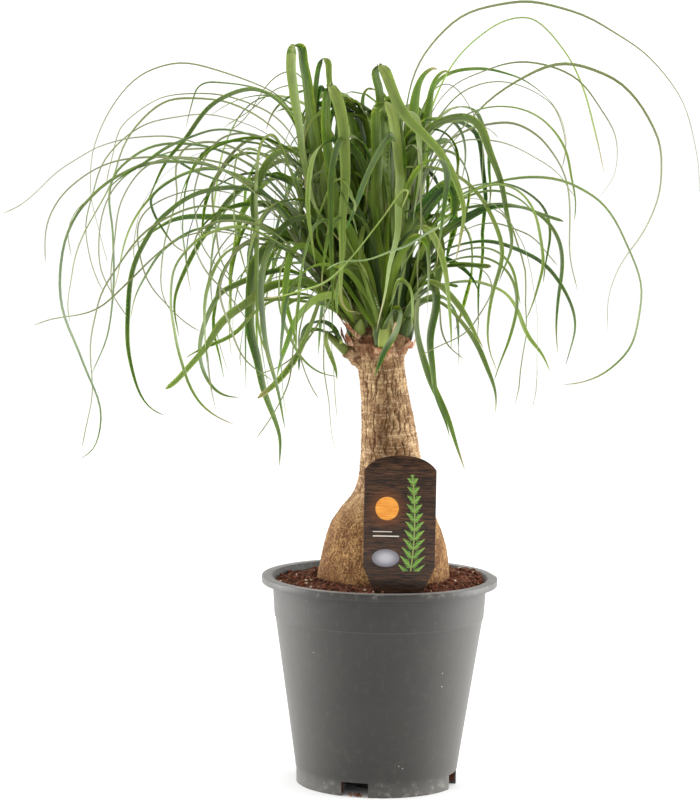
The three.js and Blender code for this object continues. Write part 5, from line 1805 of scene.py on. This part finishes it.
# Clasping leaf bases of each head: middle and span in degrees, height, and whether it is pale with
# painted light, or else dark with painted shade
SHEATHS = {
    "front": [(256, 90, 24, False), (290, 96, 30, True)],
    "right": [(300, 110, 15, False), (20, 130, 20, False)],
    "back_right": [(60, 150, 22, False), (140, 110, 18, False)],
    "back_left": [(120, 150, 22, False), (40, 110, 18, False)],
    "left": [(205, 110, 18, False), (286, 90, 14, True)],
}


def sheath_form(head, middle_deg, span_deg, tall, pale_and_lit, order):
    """A clasping leaf base: a curved shell round the core, wide at its foot and drawn in above."""
    bm = bmesh.new()
    bmesh.ops.create_grid(bm, x_segments=12, y_segments=12, size=1.0)
    leaf, uv = leaf_layers(bm)
    for vert in bm.verts:
        across, up = vert.co.x, (vert.co.y + 1) / 2
        for loop in vert.link_loops:
            loop[uv].uv = ((across + 1) / 2, up)
        angle = math.radians(middle_deg + 0.5 * span_deg * across * (1 - 0.94 * up ** 1.5))
        radius = stations_at([(z, r) for r, z in CORE_PROFILE[2:7]], up * tall) + 0.7 + 0.25 * order
        radius += 1.8 * up ** 2
        vert.co = (radius * math.cos(angle), radius * math.sin(angle), up * tall - 2.5 - order)
        # a pale foot and the palest tone as painted light on the front sheaths, a dark tone as
        # painted shade on the rest
        vert[leaf] = (0.015 + 0.06 * up if pale_and_lit else 0.2, TONES[PALE_AND_LIT if pale_and_lit else SHADED], 1.0)
    bmesh.ops.solidify(bm, geom=bm.faces[:], thickness=0.45)
    bmesh.ops.recalc_face_normals(bm, faces=bm.faces)
    return moved(bm, Matrix.Translation(head["base"]))


def make_head(name, settings, green):
    """One head: the leaves seen in it, those drawn for the rest of it, its core and its sheaths."""
    head = HEADS[name]
    known = known_leaves(name)
    leaves = filling_leaves(name, known) + fine_leaves(name)
    leaves = [leaf for i, leaf in enumerate(leaves) if i not in CLEARED[name]]
    tones = Draws(head["seed"] + TONE_SEED_STEP)
    parts = [make_blades(head, known, leaves, tones, settings), core_form(head)]
    parts += [sheath_form(head, *row, order) for order, row in enumerate(SHEATHS[name])]
    finish(joined(parts), f"crown_{name}", green, [f"shoot_{name}"])


def make_low_head(settings, green):
    leaves = make_blades(LOW_HEAD, [], low_leaves(), Draws(LOW_TONE_SEED), settings)
    parts = joined([leaves, low_core_form()])
    finish(parts, "crown_low_left", green, ["shoot_low_left"])


# Label


def make_label(settings):
    """The card with its rounded top and pointed stake, its edges softly bevelled."""
    half = LABEL["width"] / 2
    base = LABEL["stake_top"]
    crest = LABEL["top"] - base
    shoulder = LABEL["shoulder"] - base
    outline = [
        (0, LABEL["stake_point"] - base),
        (LABEL["stake_width"] / 2, 0),
        (half, LABEL["taper_start"] - base),
    ]
    for share in np.linspace(0, 1, ARCH_STEPS + 1):
        rest = 1 - share
        x = rest * rest * half + 2 * rest * share * LABEL["arch_fullness"] * half
        z = rest * rest * shoulder + 2 * rest * share * crest + share * share * crest
        outline.append((x, z))
    outline += [(-x, z) for x, z in outline[-2:0:-1]]
    bm = bmesh.new()
    points = [bm.verts.new((x, -LABEL["thickness"] / 2, z)) for x, z in outline]
    face = bm.faces.new(points)
    made = bmesh.ops.extrude_face_region(bm, geom=[face])
    back = [item for item in made["geom"] if isinstance(item, bmesh.types.BMVert)]
    bmesh.ops.translate(bm, verts=back, vec=(0, LABEL["thickness"], 0))
    bmesh.ops.recalc_face_normals(bm, faces=bm.faces)
    rims = [edge for edge in bm.edges if edge.calc_face_angle(0) > 1.2]
    bmesh.ops.bevel(
        bm, geom=rims, offset=LABEL_BEVEL, segments=2, profile=0.5, affect="EDGES", material=-1,
        clamp_overlap=True,
    )
    lean = Matrix.Rotation(-math.radians(LABEL["lean_deg"]), 4, "X")
    moved(bm, Matrix.Translation((LABEL["centre_x"], LABEL["depth_y"], base)), lean)
    card = printed_card(settings.plank_colour)
    finish(bm, "label_card", card, ["plant_label"], LABEL_SHARP_DEG)


# Stage


def flat_panel(name, width, depth, material, *matrices):
    """A flat piece of the studio."""
    bm = bmesh.new()
    bmesh.ops.create_grid(bm, x_segments=1, y_segments=1, size=0.5)
    mesh = as_mesh(moved(bm, *matrices, Matrix.Diagonal((width, depth, 1, 1))), name)
    mesh.materials.append(material)
    panel = shown(name, mesh)
    return panel


def soft_light(name, place, aim, width, height, power):
    """A soft rectangular light that the camera doesn't see."""
    lamp = bpy.data.lights.new(name, "AREA")
    lamp.shape = "RECTANGLE"
    lamp.size = width
    lamp.size_y = height
    lamp.energy = power
    light = shown(name, lamp)
    light.location = place
    light.rotation_euler = (Vector(aim) - Vector(place)).to_track_quat("-Z", "Y").to_euler()
    light.visible_camera = False


def make_camera():
    """The camera, fitted to the pot in the photo."""
    side, top, forward = view_axes()
    data = bpy.data.cameras.new("camera")
    data.sensor_fit = "VERTICAL"
    data.sensor_height = CAMERA_SENSOR
    data.lens = CAMERA_LENS
    data.clip_end = 200
    camera = shown("camera", data)
    turn = Matrix((side, top, -forward)).transposed().to_4x4()
    camera.matrix_world = Matrix.Translation(CAMERA_PLACE) @ turn
    bpy.context.scene.camera = camera


def make_stage(settings):
    """A pale floor, a white surround, soft lights and a grey card that only reflections show."""
    scene = bpy.context.scene
    floor_size = settings.floor_size
    flat_panel("floor", floor_size, floor_size, studio_floor(settings.floor_colour))
    card_paint = Paint("front_card", Base_Color=CARD["colour"], Roughness=1.0)
    upright = Matrix.Translation(CARD["place"]) @ Matrix.Rotation(math.radians(90), 4, "X")
    card = flat_panel("front_card", *CARD["size"], card_paint.material, upright)
    card.visible_camera = False
    card.visible_diffuse = False
    card.visible_shadow = False
    scene.world = bpy.data.worlds.new("studio")
    scene.world.use_nodes = True
    background = scene.world.node_tree.nodes["Background"].inputs
    background["Color"].default_value = (1, 1, 1, 1)
    background["Strength"].default_value = settings.surround
    for name, (across, y, z), aim_z, size, power in (
        ("side", SIDE_LIGHT_PLACE, 0.28, (1.0, 0.8), settings.side_power),
        ("low", LOW_LIGHT_PLACE, 0.07, (0.5, 0.22), settings.low_power),
    ):
        aim = (0, 0, aim_z)
        soft_light(f"{name}_light_left", (-across, y, z), aim, *size, power * LEFT_SHARE)
        soft_light(f"{name}_light_right", (across, y, z), aim, *size, power)
    soft_light("top_light", (0, 0, TOP_LIGHT_HEIGHT), (0, 0, 0), 2.0, 2.0, settings.top_power)
    scene.view_settings.view_transform = "Standard"
    scene.view_settings.look = "None"
    make_camera()


# Settings, operators and panel


def colour_setting(name, description, default):
    return bpy.props.FloatVectorProperty(
        name=name, description=description, subtype="COLOR", size=4, min=0, max=1, default=default
    )


def count_setting(name, description, default, low=0, high=10000):
    return bpy.props.IntProperty(
        name=name, description=description, default=default, min=low, max=high
    )


def power_setting(name, description, default):
    return bpy.props.FloatProperty(
        name=name, description=description, unit="POWER", default=default, min=0
    )


class PALM_PG_pot(bpy.types.PropertyGroup):
    colour: colour_setting("Pot colour", "Base colour of the pot's plastic", srgb(28, 26, 22))
    sides: count_setting("Sides", "Steps in which the pot is turned", 180, 24, 400)


class PALM_PG_soil(bpy.types.PropertyGroup):
    colour: colour_setting("Soil colour", "Base colour of the crumbs", srgb(98, 60, 42))
    crumbs: count_setting("Fine crumbs", "How many fine crumbs lie on the soil", 2600)
    lumps: count_setting("Coarse crumbs", "How many coarse crumbs lie on the soil", 420)
    grains: count_setting("White grains", "How many white grains lie on the soil", 46)


class PALM_PG_trunk(bpy.types.PropertyGroup):
    colour: colour_setting("Bark colour", "Colour of the bark's plates", srgb(168, 138, 99))
    crack_colour: colour_setting("Crack colour", "Colour inside the cracks", srgb(80, 49, 25))
    columns: count_setting("Columns", "Steps round the trunk", 280, 24, 300)
    rows: count_setting("Rows", "Steps up the trunk", 250, 24, 300)


class PALM_PG_leaves(bpy.types.PropertyGroup):
    deep: colour_setting("Deep green", "Colour of the darkest leaves", srgb(31, 53, 4))
    pale: colour_setting("Fresh green", "Colour of the lightest leaves", srgb(98, 122, 26))
    width_scale: bpy.props.FloatProperty(
        name="Blade width", description="Width of every blade against its own", subtype="FACTOR",
        default=1.08, min=0.2, max=2.0,
    )


class PALM_PG_label(bpy.types.PropertyGroup):
    plank_colour: colour_setting("Plank colour", "Colour of the printed planks", srgb(64, 41, 24))


class PALM_PG_stage(bpy.types.PropertyGroup):
    floor_colour: colour_setting("Floor colour", "Colour of the floor", (0.87, 0.87, 0.87, 1))
    floor_size: bpy.props.FloatProperty(
        name="Floor size", description="Width of the studio floor", subtype="DISTANCE",
        unit="LENGTH", default=60.0, min=1.0,
    )
    surround: bpy.props.FloatProperty(
        name="Surround", description="Strength of the white surround", default=1.2, min=0.0,
    )
    side_power: power_setting("Side power", "Power of the right side light", 16.0)
    low_power: power_setting("Low power", "Power of the low light beside the pot", 3.4)
    top_power: power_setting("Top power", "Power of the light overhead", 22.0)


class PALM_OT_stage(bpy.types.Operator):
    """Sets up the floor, the lights and the camera"""

    bl_idname = "palm.stage"
    bl_label = "Make Stage"

    def execute(self, context):
        make_stage(context.scene.palm_stage)
        return {"FINISHED"}


class PALM_OT_pot(bpy.types.Operator):
    """Turns the nursery pot and cuts its drain notches"""

    bl_idname = "palm.pot"
    bl_label = "Make Pot"

    def execute(self, context):
        make_pot(context.scene.palm_pot)
        return {"FINISHED"}


class PALM_OT_soil(bpy.types.Operator):
    """Fills the pot with soil and scatters crumbs and white grains"""

    bl_idname = "palm.soil"
    bl_label = "Make Soil"

    def execute(self, context):
        make_soil(context.scene.palm_soil)
        return {"FINISHED"}


class PALM_OT_trunk(bpy.types.Operator):
    """Grows the swollen trunk with its cracked bark and knobs"""

    bl_idname = "palm.trunk"
    bl_label = "Make Trunk"

    def execute(self, context):
        make_trunk(context.scene.palm_trunk)
        return {"FINISHED"}


class PALM_OT_leaves(bpy.types.Operator):
    """Grows the leaves of every head"""

    bl_idname = "palm.leaves"
    bl_label = "Make Leaves"

    def execute(self, context):
        settings = context.scene.palm_leaves
        green = leaf_green(settings.deep, settings.pale)
        for name in HEADS:
            make_head(name, settings, green)
        make_low_head(settings, green)
        return {"FINISHED"}


class PALM_OT_label(bpy.types.Operator):
    """Cuts and prints the plant label"""

    bl_idname = "palm.label"
    bl_label = "Make Label"

    def execute(self, context):
        make_label(context.scene.palm_label)
        return {"FINISHED"}


class PALM_PT_panel(bpy.types.Panel):
    """Lists the palm's settings and pieces"""

    bl_idname = "PALM_PT_panel"
    bl_label = "Potted Ponytail Palm"
    bl_space_type = "VIEW_3D"
    bl_region_type = "UI"
    bl_category = "Palm"

    def draw(self, context):
        layout = self.layout
        for name, _, _ in PIECES:
            settings = getattr(context.scene, f"palm_{name}")
            box = layout.box()
            for key in settings.__annotations__:
                box.prop(settings, key)
            box.operator(f"palm.{name}")


# Each piece or group: its name, its settings and its operator, in the order in which they are made
PIECES = (
    ("stage", PALM_PG_stage, PALM_OT_stage),
    ("pot", PALM_PG_pot, PALM_OT_pot),
    ("soil", PALM_PG_soil, PALM_OT_soil),
    ("trunk", PALM_PG_trunk, PALM_OT_trunk),
    ("leaves", PALM_PG_leaves, PALM_OT_leaves),
    ("label", PALM_PG_label, PALM_OT_label),
)


def register():
    for name, group, operator in PIECES:
        bpy.utils.register_class(group)
        setattr(bpy.types.Scene, f"palm_{name}", bpy.props.PointerProperty(type=group))
        bpy.utils.register_class(operator)
    bpy.utils.register_class(PALM_PT_panel)


def unregister():
    bpy.utils.unregister_class(PALM_PT_panel)
    for name, group, operator in reversed(PIECES):
        bpy.utils.unregister_class(operator)
        delattr(bpy.types.Scene, f"palm_{name}")
        bpy.utils.unregister_class(group)


def main():
    register()
    for name, _, _ in PIECES:
        getattr(bpy.ops.palm, name)()


if __name__ == "__main__":
    main()
